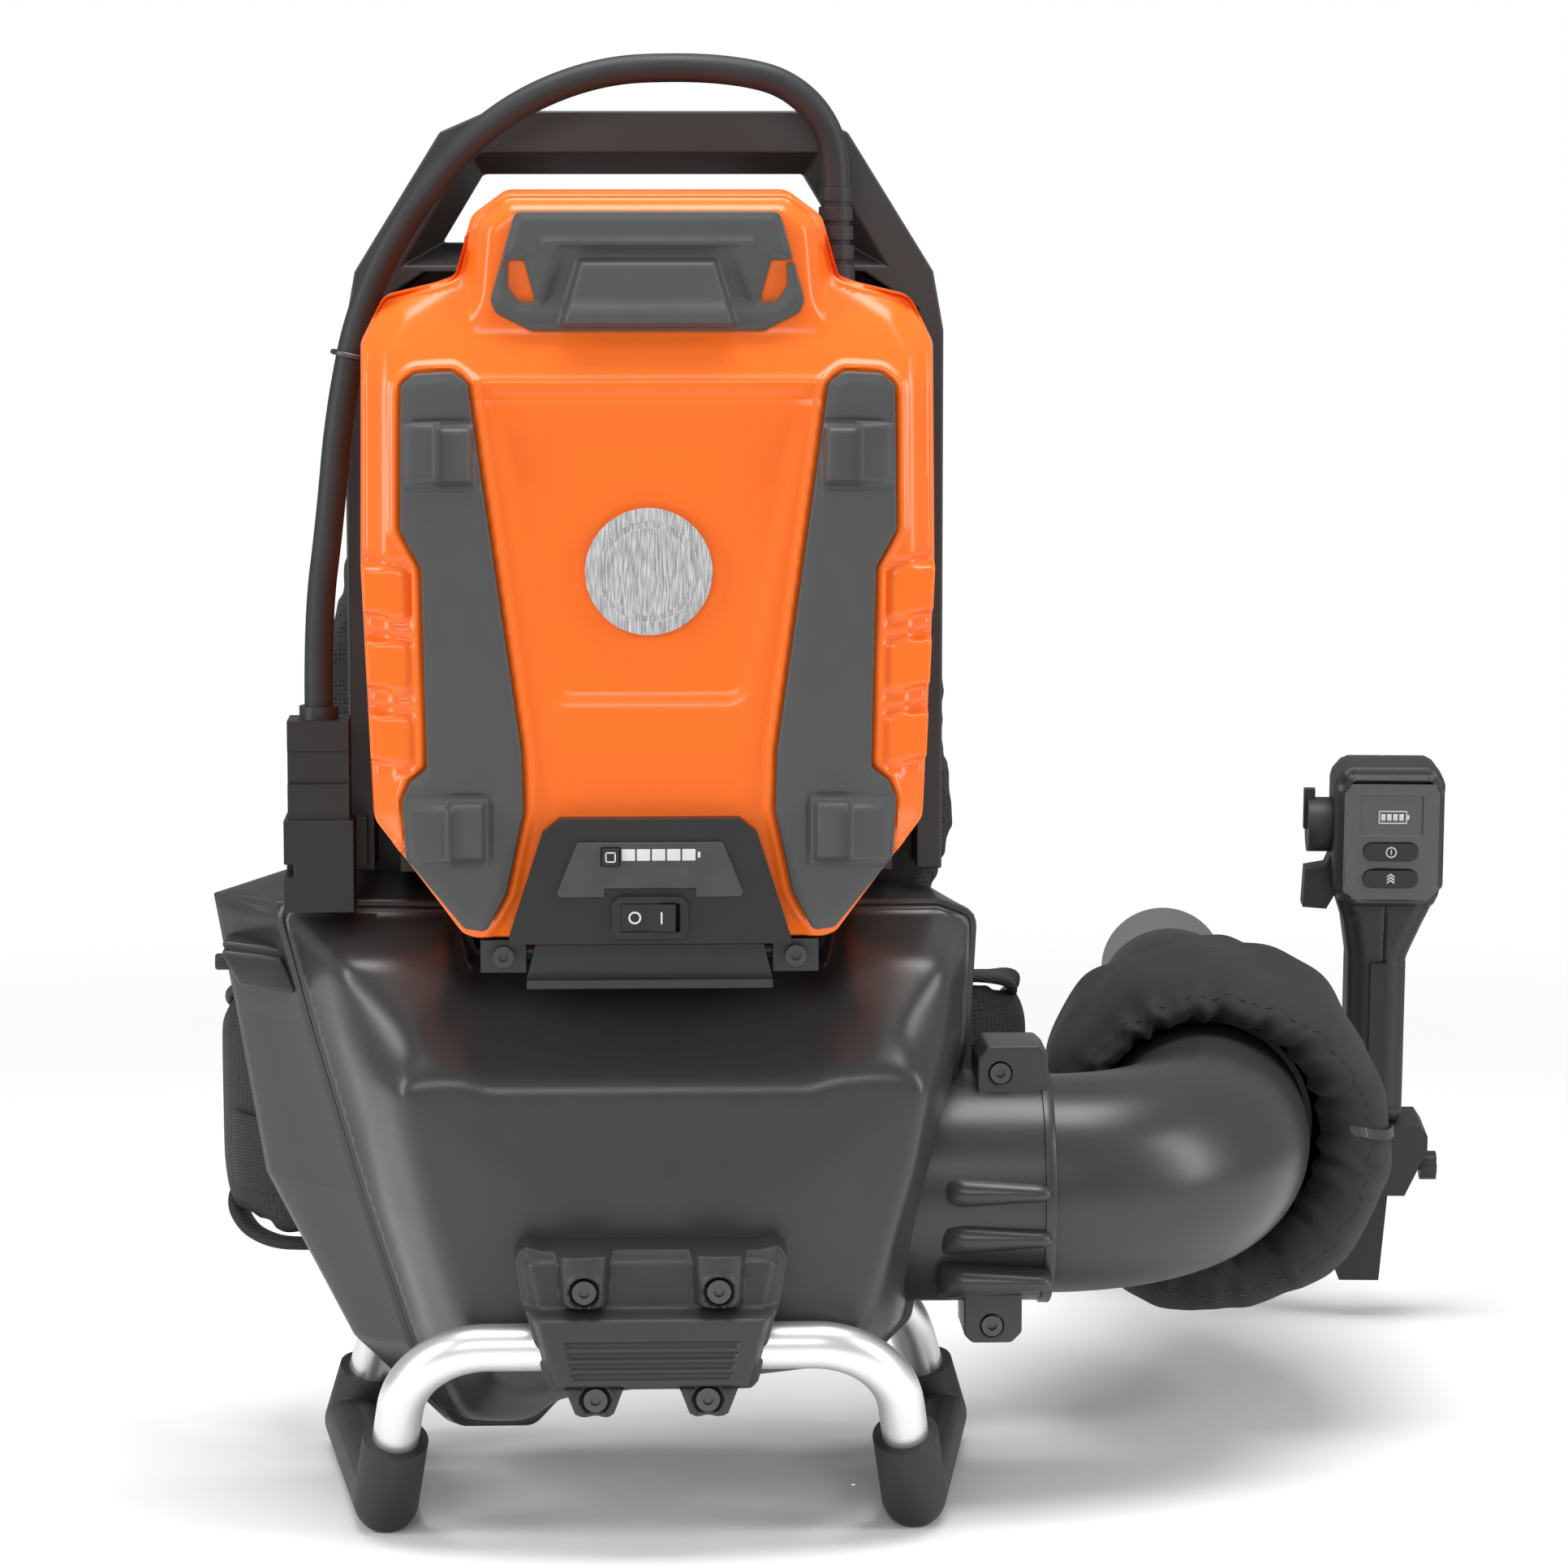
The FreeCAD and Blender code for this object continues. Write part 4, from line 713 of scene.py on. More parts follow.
def oval(wide: float, thick: float, power: float = 4.0, count: int = 28) -> np.ndarray:
    """Rounded flat section of a band, wide by thick."""
    a = np.linspace(0, 2 * math.pi, count, endpoint=False)
    c, s = np.cos(a), np.sin(a)
    return np.stack([wide / 2 * np.sign(c) * np.abs(c) ** (2 / power),
                     thick / 2 * np.sign(s) * np.abs(s) ** (2 / power)], 1)


def circle(centre: Sequence[float], along: Sequence[float], radius: float, count: int = 64) -> np.ndarray:
    """Ring of points round a direction."""
    forward = np.array(along, float) / np.linalg.norm(along)
    first = np.cross(forward, (0.0, 0.0, 1.0) if abs(forward[2]) < 0.9 else (1.0, 0.0, 0.0))
    first /= np.linalg.norm(first)
    second = np.cross(forward, first)
    a = np.linspace(0, 2 * math.pi, count, endpoint=False)[:, None]
    return np.array(centre, float) + radius * (np.cos(a) * first + np.sin(a) * second)


def turned(start: Sequence[float], along: Sequence[float], profile: Sequence[tuple[float, float]],
           count: int = 64) -> Shape:
    """Round body from pairs of distance along the axis and radius."""
    forward = np.array(along, float) / np.linalg.norm(along)
    return skin([circle(np.array(start, float) + forward * s, forward, r, count) for s, r in profile])


ELBOW_START = 194.0  # x where the elbow leaves the collar
ELBOW_BEND = 86.0  # radius of the elbow's centre line
ELBOW_HEIGHT = 149.0  # height of the elbow's axis
ELBOW_TURN = math.radians(87.0)
HOSE_RISE = math.radians(4.6)


def in_hose(points: np.ndarray) -> np.ndarray:
    """Points drawn as (right, along, up) of the hose, put in place."""
    u, s, w = points[:, 0], points[:, 1], points[:, 2]
    cos, sin = math.cos(ELBOW_TURN), math.sin(ELBOW_TURN)
    x = ELBOW_START + ELBOW_BEND * sin + u * sin + s * cos
    y = ELBOW_BEND - ELBOW_BEND * cos - u * cos + s * sin
    cos, sin = math.cos(HOSE_RISE), math.sin(HOSE_RISE)
    return np.stack([x, y * cos - w * sin, ELBOW_HEIGHT + y * sin + w * cos], 1)


# ---------------------------------------------------------------- placing pieces
def linked(name: str, data: bpy.types.ID) -> bpy.types.Object:
    """New object of the scene, with that data."""
    made = bpy.data.objects.new(name, data)
    bpy.context.scene.collection.objects.link(made)
    return made


class Workshop:
    """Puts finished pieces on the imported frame."""

    def __init__(self, packed: dict) -> None:
        """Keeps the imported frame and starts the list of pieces."""
        self.nodes = packed["nodes"]
        self.made: list[str] = []

    def piece(self, name: str, shape: Shape, finish: Finish, body: str | None = "chassis",
              stands_for: Sequence[str] = (), slot: str = "", crease: float = 40.0) -> bpy.types.Object:
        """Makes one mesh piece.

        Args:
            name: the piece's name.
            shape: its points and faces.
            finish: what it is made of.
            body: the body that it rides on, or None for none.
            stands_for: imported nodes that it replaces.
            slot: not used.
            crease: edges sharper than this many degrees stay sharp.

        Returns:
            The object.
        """
        mesh = bpy.data.meshes.new(name)
        mesh.from_pydata((shape.points * MM).tolist(), [], shape.faces)
        mesh.validate()
        mesh.polygons.foreach_set("use_smooth", [True] * len(mesh.polygons))
        mesh.set_sharp_from_angle(angle=math.radians(crease))
        made = linked(name, mesh)
        mesh.materials.append(finish.material())
        return self.place(made, body, stands_for, slot)

    def place(self, made: bpy.types.Object, body: str | None, stands_for: Sequence[str] = (),
              slot: str = "") -> bpy.types.Object:
        """Rides an object on a body, with what it stands for."""
        if body:
            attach(made, body)
        if stands_for:
            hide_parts(*stands_for)
        self.made.append(made.name)
        return made

    def dress(self, finish: Finish, *nodes: str, edge: float = 0.5, crease: float = 30.0) -> None:
        """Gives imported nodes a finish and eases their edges.

        Args:
            finish: what they are made of.
            nodes: their names.
            edge: width of the eased edge in millimetres, 0 for none.
            crease: edges sharper than this many degrees are eased.
        """
        for name in nodes:
            made = self.nodes[name]
            made.data.materials.clear()
            made.data.materials.append(finish.material())
            weld = made.modifiers.new("weld", "WELD")
            weld.merge_threshold = 0.01 * MM
            if edge:
                bevel = made.modifiers.new("ease", "BEVEL")
                bevel.width = edge * MM
                bevel.segments = 3
                bevel.limit_method = "ANGLE"
                bevel.angle_limit = math.radians(crease)
                bevel.harden_normals = True
            self.made.append(name)


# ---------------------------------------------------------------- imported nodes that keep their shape
def dress_structure(shop: Workshop) -> None:
    """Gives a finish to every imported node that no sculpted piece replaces."""
    shop.dress(FRAME_GREY, "back_frame", edge=3.0)
    shop.dress(FRAME_GREY, "battery_dock", "battery_catch", "rear_bow_clamps", edge=1.2)
    shop.dress(CASING_GREY, "fan_casing_rear", edge=1.0)
    shop.dress(CASING_GREY, "intake_grille", "elbow_pipe", edge=0.5)
    shop.dress(ORANGE, "battery_rear_shell", edge=2.5)
    shop.dress(BLACK, "battery_console", "rocker_bezel", edge=0.6)
    shop.dress(BLACK, "rocker_switch", "charge_button", "cable_plug", "cable_socket", "impeller", edge=0.4)
    shop.dress(RUBBER, "foot_left", "foot_right", "frame_isolators", "cable_boot", "grip_insert", edge=0.5)
    shop.dress(GRIP_GREY, "handle_clamp", "clamp_knob", "throttle_trigger", "cruise_lever", "power_button",
               "boost_button", edge=0.7)
    shop.dress(TUBE_GREY, "blow_tube", edge=0.5)
    shop.dress(BOW_METAL, "leg_bow_front", "leg_bow_rear", edge=0.0)
    shop.dress(BADGE_METAL, "battery_badge", edge=0.3)
    shop.dress(SCREW_ZINC, "housing_screws", "bracket_screws", "cable_clip", edge=0.3)
    shop.dress(MACHINED, "motor_mount", "motor_bearings", "motor_stator", "motor_shaft", "motor_controller",
               edge=0.4)
    shop.dress(WINDOW, "display_plate", "handset_panel", edge=0.3)
    shop.dress(CELL_WRAP, "cell_modules", edge=0.5)
    shop.dress(BOARD, "battery_board", edge=0.2)


# ---------------------------------------------------------------- battery
def on_face(outline: Outline, side: Side) -> list[tuple[float, float]]:
    """Outline drawn for the right, turned over for the left."""
    return [(side.value * x, z) for x, z in outline]


@dataclass
class Battery:
    """Front of the orange housing with its guards, handle panel and marks.

    Attributes:
        face: depth of the housing's flat front.
        hump_face: depth of the front of the raised top.
        guard_front: depth of the guards' front.
        insert_front: depth of the handle panel's front.
        fins: fins on each side.
        rocker_pivot: depth of the rocker's pivot.
        rocker_lean: how far the rocker leans as it rests, in radians.
        outline: right half of the housing's edge, from the top down.
        body: right half of the housing without its raised top.
        hump: right half of the raised top.
        guard: edge of the right guard.
        insert: right half of the handle panel.
        slot: edge of the right slot in the handle panel.
    """

    face: float = -115.0
    hump_face: float = -103.0
    guard_front: float = -120.2
    insert_front: float = -106.5
    fins: int = 3
    rocker_pivot: float = -121.0
    rocker_lean: float = math.radians(-6.0)
    outline: tuple = ((64, 628), (79, 617), (87, 589), (97, 585.5), (120, 580), (130, 560), (131, 458),
                      (126, 342), (86, 289), (80, 287))
    body: tuple = ((90, 600), (120, 580), (130, 560), (131, 458), (126, 342), (86, 289), (80, 287))
    guard: tuple = ((112, 541.8), (106, 547), (89, 548), (82, 543), (58.5, 375), (57.6, 347), (65.3, 310),
                    (75, 292), (85, 293.5), (111.5, 326), (113, 353), (109, 361.5), (101.5, 367),
                    (103.5, 459), (112.8, 476))
    hump: tuple = ((64, 628), (79, 616), (82, 582), (89, 566), (86, 557))
    insert: tuple = ((60, 620), (71.5, 580), (69, 574), (53, 566))
    slot: tuple = ((56.2, 598.2), (63.5, 598.2), (63.5, 586), (58.5, 579), (51, 579))

    def front(self, x: np.ndarray, z: np.ndarray) -> np.ndarray:
        """Depth of the housing's front, before the fine details."""
        edge_fall, edge_width = 14, 15
        slope_fall, slope_foot, slope_height = 27, 541, 50
        hump_fall, hump_width = 16, 9
        inside = within(x, z, mirrored(self.body), 9)
        shoulder = self.face + edge_fall * (1 - soft(inside, -3, edge_width)) ** 1.3
        slope = slope_fall * np.clip((z - slope_foot) / slope_height, 0, 1) ** 1.1
        hump = within(x, z, mirrored(self.hump), 8)
        lifted = self.hump_face + hump_fall * (1 - soft(hump, -2, hump_width)) ** 1.4
        return np.minimum(shoulder + slope, np.where(hump > -2.5, lifted, 0))

    def detail(self, base: Field, x: np.ndarray, z: np.ndarray) -> np.ndarray:
        """Depth of the finished front: sunk panel, brow line, guard seats and side fins."""
        panel_sunk, brow, brow_foot = 2.6, 543.5, 536
        y = base.read(x, z)
        panel = within(x, z, [(-73, 560), (73, 560), (41, 401), (-41, 401)], 7)
        y = y + panel_sunk * soft(panel, -7, 1.5) * (1 - soft(z, 512, 546))
        y = y - 1.1 * bump(z, brow, 2.2) * (np.abs(x) < 84) + 0.7 * bump(z, brow_foot, 2.4) * (np.abs(x) < 82)
        for side in Side:
            guard = within(x, z, on_face(self.guard, side), 5)
            brim = soft(guard, -5.5, -3.5) * (1 - soft(guard, -1.6, -0.6))
            y = y - 1.5 * brim + 1.2 * soft(guard, -1.2, 0.2)
            for k in range(self.fins):
                y = self.fin(x, z, y, side, k)
        return y

    def fin(self, x: np.ndarray, z: np.ndarray, y: np.ndarray, side: Side, k: int) -> np.ndarray:
        """Depth y with one side fin added, the k-th from the top."""
        drop, near, far = 33.7 * k, 109.5 - 1.3 * k, 140
        edge = [(far, 462.5 - drop), (near, 458 - drop), (near, 435 - drop), (far, 438.5 - drop)]
        inside = within(x, z, on_face(edge, side), 4)
        raised = np.minimum(y, self.face - 1.2 + 0.12 * np.clip(np.abs(x) - 112, 0, 30))
        groove = soft(inside, -5, -2.5) * (1 - soft(inside, -1.2, 0.3)) * (np.abs(x) > 108)
        return y + (raised - y) * soft(inside, -0.3, 2.6) + 1.3 * groove

    def guard_face(self, x: np.ndarray, z: np.ndarray, inside: np.ndarray) -> np.ndarray:
        """Depth of a guard's front with its two raised stops."""
        stop_height, wedge_height, groove = 6.4, 4.0, 0.9
        y = self.guard_front - 0.9 * soft(inside, 0.5, 5)
        for (x0, x1, z0, z1), (x2, x3, z2, z3) in (((80.5, 95.5, 498, 523), (95, 116, 498, 525)),
                                                   ((76, 91, 326, 352), (91, 112, 324, 350))):
            near = np.minimum(np.minimum(x - x0, x1 - x), np.minimum(z - z0, z1 - z))
            y = y - stop_height * soft(near, -1.6, 1.4)
            ramp = np.minimum(z - z2, z3 - z)
            along = np.clip((x3 - x) / (x3 - x2), 0, 1) * (x >= x2 - 1)
            y = y - wedge_height * along * soft(ramp, -1.5, 2.0) * (x > x1 - 1)
            away = np.maximum(np.maximum(x0 - x, x - x3), np.maximum(z0 - z, z - z1))
            y = y + groove * soft(away, 0.8, 1.8) * (1 - soft(away, 3.2, 4.4))
        return y

    def insert_face(self, x: np.ndarray, z: np.ndarray, inside: np.ndarray) -> np.ndarray:
        """Depth of the handle panel with its grip block."""
        well = np.array([(-41, 606), (41, 606), (52, 575), (-52, 575)], float)
        sunk, _ = depth_in(np.stack([x, z], 1), well)
        block = within(x, z, [(-31, 598), (31, 598), (40, 568), (-40, 568)], 2)
        y = self.insert_front - 1.3 * soft(inside, 0.5, 4)
        y = y + 2.6 * soft(sunk, -1, 6)
        y = y - 6.0 * soft(block, -1.5, 2.2) - 0.05 * np.clip(598 - z, 0, 30) * soft(block, -1.5, 2.2)
        return y - 1.6 * bump(z, 606, 1.8) * (np.abs(x) < 48)

    def lean(self, points: np.ndarray) -> np.ndarray:
        """Lays flat marks onto the rocker's two slopes as it rests."""
        x = points[:, 0]
        y = -7.4 - 0.128 * np.abs(x) + points[:, 1]
        cos, sin = math.cos(self.rocker_lean), math.sin(self.rocker_lean)
        return np.stack([x * cos - y * sin, x * sin + y * cos + self.rocker_pivot, points[:, 2]], 1)

    def marks(self, shop: Workshop) -> None:
        """Charge bar, button outline and rocker marks."""
        on_display, on_button, on_rocker = (-127.75, -127.3), (-129.35, -129.1), (-0.25, 0.1)
        bar = Shape()
        for k in range(5):
            left = -12.9 + 6.9 * k
            bar.add(tile(left, left + 6.1, 325.7, 331, on_display, 0.1, 0.4))
        bar.add(tile(21.8, 23, 327, 329.7, on_display, 0.1, 0.3))
        shop.piece("charge_bar", bar, PALE_INK)
        outline = Shape()
        for sides in ((-20.4, -15.6, 329.3, 329.9), (-20.4, -15.6, 325.1, 325.7),
                      (-20.4, -19.8, 325.1, 329.9), (-16.2, -15.6, 325.1, 329.9)):
            outline.add(tile(*sides, on_button))
        shop.piece("charge_button_mark", outline, PALE_INK, "charge")
        shape = flat_ring((-6.2, 299.5), (2.9, 2.1), on_rocker)
        shape.add(tile(5.7, 6.5, 296.7, 302.3, on_rocker, 0.05, 0.3))
        shop.piece("rocker_marks", shape.moved(self.lean), PALE_INK, "rocker")

    def build(self, shop: Workshop) -> None:
        """Makes the housing's front, guards, handle panel and marks."""
        base = Field((-136, 282), (136, 634), 1.25, self.front).smooth(2.2)
        walls = [(-88, 1.2), (-75, 1.5), (-61.5, 1.6), (-60.6, 0.2), (-59.5, 0.2)]
        shell = relief(rounded(mirrored(self.outline), 7, 8), lambda x, z, d: self.detail(base, x, z), 2.2,
                       walls, 1.25)
        shop.piece("battery_front_cover", shell, ORANGE, stands_for=["battery_front_shell"],
                   slot="battery_orange", crease=70)
        guard = relief(rounded(self.guard, 3.5, 6), self.guard_face, 1.2, [(-113, 0.1)], 1.0)
        for name, shape in (("right", guard), ("left", guard.flipped())):
            shop.piece(f"guard_{name}", shape, GUARD_GREY, stands_for=[f"battery_bumper_{name}"],
                       slot="guard_plastic", crease=60)
        slots = [rounded(on_face(self.slot, side), 1.5) for side in Side]
        insert = relief(rounded(mirrored(self.insert), 4, 6), self.insert_face, 1.2, [(-101, 0.1)], 1.0,
                        holes=slots)
        shop.piece("handle_panel", insert, GUARD_GREY, stands_for=["battery_handle_insert"],
                   slot="guard_plastic", crease=60)
        floor = Shape()
        for slot in slots:
            floor.add(prism(slot + (slot - slot.mean(0)) * 0.1, -103.6, -102, 0.1))
        shop.piece("handle_slots", floor, ORANGE, slot="battery_orange")
        self.marks(shop)


# ---------------------------------------------------------------- fan casing
@dataclass
class Casing:
    """Moulded front of the fan casing, with its seam band, lug and the outlet collar.

    Attributes:
        step: depth of the step between the seam and the front.
        flat: depth of the front's flat middle.
        seam: edge of the front where it meets the rear half, in x and z.
        middle: edge of the step between the seam and the front.
        front: edge of the flat front.
        back: edge of the flat back.
    """

    step: float = -55.0
    flat: float = -98.0

    seam: tuple = ((-176, 287), (-150, 287), (-92, 286), (-84, 262), (84, 262), (92, 286), (140, 286),
                   (156, 280), (153, 225), (125, 84), (107, 66), (-43, 49), (-57, 34), (-92, 34),
                   (-114, 74), (-137, 147), (-161, 230))
    middle: tuple = ((-150, 270), (-130, 272), (-88, 271), (-80, 256), (80, 256), (88, 271), (132, 271),
                     (146, 266), (145, 225), (116, 88), (100, 72), (-42, 56), (-56, 46), (-84, 46),
                     (-102, 82), (-124, 146), (-144, 232))
    front: tuple = ((-118, 216), (-110, 219), (-84, 220), (-78, 216), (78, 216), (84, 220), (120, 222),
                    (132, 216), (126, 178), (101, 102), (90, 88), (-40, 72), (-54, 70), (-72, 76),
                    (-86, 100), (-101, 146), (-114, 196))
    back: tuple = ((-211, 288), (-174, 300), (-98, 298), (-92, 262), (92, 262), (98, 296), (137, 290),
                   (160, 276), (156, 226), (127, 82), (110, 62), (-44, 42), (-58, 25), (-98, 24),
                   (-145, 68), (-187, 150), (-201, 232))

    def depth(self, x: np.ndarray, z: np.ndarray) -> np.ndarray:
        """Depth between the nested outlines."""
        outer, middle = within(x, z, self.seam, 6), within(x, z, self.middle, 8)
        front = within(x, z, self.front, 10)
        low = np.clip(outer / np.maximum(outer - middle, 1e-6), 0, 1)
        high = np.clip(middle / np.maximum(middle - front, 1e-6), 0, 1)
        y = np.where(middle < 0, self.step * low, self.step + (self.flat - self.step) * high)
        return np.where(front > 0, self.flat, y) - 1.5 * soft(front, 0, 60)

    def build_front(self, shop: Workshop) -> None:
        """Makes the smooth front."""
        base = Field((-184, 28), (164, 294), 2.0, self.depth).smooth(4.0)

        def face(x: np.ndarray, z: np.ndarray, inside: np.ndarray) -> np.ndarray:
            """Depth of the front, drawn back along its edge."""
            return np.maximum(base.read(x, z), -99.4) + 3.0 * (1 - soft(inside, 0, 7))

        shape = relief(rounded(self.seam, 6, 6), face, 1.6, [(-1.0, 0.2)], 2.0)
        shop.piece("casing_front", shape, CASING_GREY, stands_for=["fan_casing_front"], slot="casing_plastic",
                   crease=75)

    def build_back(self, shop: Workshop) -> None:
        """Makes the rear half as a rounded band that ends in the flat back."""
        seam, back = rounded(self.seam, 7, 7), rounded(self.back, 9, 7)
        rings = []
        for y, share, grow in ((-1.2, 0.0, 0.8), (-0.4, 0.0, 3.0), (1.5, 0.03, 3.4), (12, 0.28, 3.0),
                               (24, 0.62, 2.0), (34, 0.90, 1.0), (37.4, 0.97, 0.4), (39.2, 1.0, -0.8),
                               (40.0, 1.0, -3.0), (40.0, 1.0, -9.0)):
            flat = seam + (back - seam) * share
            rings.append(upright(flat + outward(flat) * grow, y))
        shop.piece("casing_band", skin(rings, False, False), CASING_GREY, crease=50)

    def lugs(self, shop: Workshop) -> None:
        """Makes the latch lug and its pin on the left strip."""
        lug = Shape()
        for high, proud in ((270, 10), (266, 14)):
            edge = [(-206, high), (-176, high - 4), (-168, high - 22), (-196, high - 17)]
            lug.add(prism(rounded(edge, 2.5, 5), 14 - proud, 30, 1.5))
        shop.piece("casing_lug", lug, CASING_GREY, crease=50)
        pin = ((0, 0.1), (0, 3.4), (1, 4), (8, 4), (8, 0.1))
        shop.piece("casing_lug_pin", turned((-208, 8, 259), (1, 0, 0), pin, 24), BLACK, crease=50)

    def rib(self, height: float) -> Shape:
        """Tapered rib on the collar's front, at a height."""
        root, rings = -38, []
        for x, half, front in ((138, 8.0, -52), (142, 7.9, -57.5), (150, 7.2, -60.4), (184, 4.6, -60.6),
                               (189, 4.2, -60.2), (191.5, 3.6, -58)):
            rings.append(np.array([(x, root + (front - root) * math.sin(a) ** 0.35,
                                    height + (half + 1.2 * (1 - math.sin(a))) * math.cos(a))
                                   for a in np.linspace(0, math.pi, 13)]))
        return skin(rings)

    def collar(self, shop: Workshop) -> None:
        """Makes the outlet collar with its rim, three tapered ribs and two screw lugs."""
        sleeve = ((120, 50), (120, 56.5), (188.6, 56.5), (189, 57.7), (193.4, 57.8), (194, 57.2), (194, 53.5),
                  (152, 53.5), (152, 50))
        shape = turned((0, 0, ELBOW_HEIGHT), (1, 0, 0), sleeve, 120)
        for height in (155, 133, 112):
            shape.add(self.rib(height))
        shop.piece("collar_body", shape, CASING_GREY, stands_for=["outlet_collar"], slot="casing_plastic",
                   crease=50)
        lugs = Shape()
        screw_hole, lug_front = 5.4, -26.6
        for outline, (x, z) in (([(158, 188), (192, 188), (192, 217), (188, 221), (163, 221), (158, 215)],
                                 (169, 208)),
                                ([(152, 80), (156, 76), (175, 76), (180, 81), (180, 110), (152, 110)],
                                 (165.5, 84.5))):
            hole = circle((x, 0, z), (0, 1, 0), screw_hole, 40)[:, [0, 2]]
            lugs.add(relief(rounded(outline, 3, 5), lambda u, w, d: np.full(len(u), lug_front), 1.0,
                            [(12, 0.2)], 0.8, 4, [hole]))
        shop.piece("collar_lugs", lugs, CASING_GREY, crease=60)

    def build(self, shop: Workshop) -> None:
        """Makes the casing's pieces."""
        self.build_front(shop)
        self.build_back(shop)
        self.lugs(shop)
        self.collar(shop)


# ---------------------------------------------------------------- frame and legs
@dataclass
class FrontBracket:
    """Moulded clamp over the front bow, with two screw barrels, a ribbed band and two ears.

    Attributes:
        plate: depth of its flat front.
        outline: right half of its edge, from the top down.
        top_screws: x and z of the screws in the barrels.
        low_screws: x and z of the screws in the ears.
    """

    plate: float = -125.0
    outline: tuple = ((25, 144), (49, 143.5), (59, 146), (63, 140), (60, 120), (57, 113), (49, 80.5),
                      (40, 79.5), (35, 66.5), (18, 66.5), (13, 79.5))
    top_screws: tuple = ((-31, 127), (31, 127))
    low_screws: tuple = ((-26, 74.5), (26, 74.5))

    def face(self, x: np.ndarray, z: np.ndarray, inside: np.ndarray) -> np.ndarray:
        """Depth of the bracket's front."""
        band = within(x, z, mirrored([(58.5, 118), (56, 112), (47, 79.8)]), 2)
        raised = within(x, z, mirrored([(57, 139), (50, 108), (46, 108)]), 3)
        y = self.plate - 0.2 + 2.0 * (1 - soft(inside, 0, 5)) - 2.2 * soft(raised, -1, 1.5)
        y = np.minimum(y, np.where(band > -1.5, self.plate - 14.4 * soft(band, -1.5, 5.0), 0))
        ear_top, ear_front = 80, -129.5
        y = np.where(z < ear_top, np.minimum(y, ear_front), y)
        for cx, _ in self.top_screws:
            barrel = within(x, z, [(cx - 12.5, 150), (cx + 12.5, 150), (cx + 11, 118), (cx - 11, 118)], 5)
            height = 15.2 - 5.0 * np.clip(np.abs(x - cx) / 12, 0, 1) ** 2
            y = np.minimum(y, np.where(barrel > -1, self.plate - height * soft(barrel, -1, 2.4), 0))
        barrel_seat, ear_seat = -134.8, -126.8
        for screws, seat in ((self.top_screws, barrel_seat), (self.low_screws, ear_seat)):
            for cx, cz in screws:
                away = np.hypot(x - cx, z - cz)
                y = y + (seat - y) * (1 - soft(away, 6.2, 7.4)) - 1.0 * bump(away, 8.2, 0.8)
        for half, middle in ((40, 102.5), (39, 97.6), (38, 92.7), (37, 87.8)):
            groove = 1 - soft(np.abs(z - middle), 0.9, 2.0)
            y = y + 1.9 * groove * (np.abs(x) < half + 0.8 * (z - middle)) * (z < 106)
        return y

    def build(self, shop: Workshop) -> None:
        """Makes the bracket."""
        edge = rounded(mirrored(self.outline), 2.2, 5)
        shape = relief(edge, self.face, 1.5, [(-112, 0.3), (-100, 0.5)], 1.0)
        shop.piece("front_bracket", shape, FRAME_GREY, stands_for=["leg_bracket"], slot="frame_plastic",
                   crease=65)


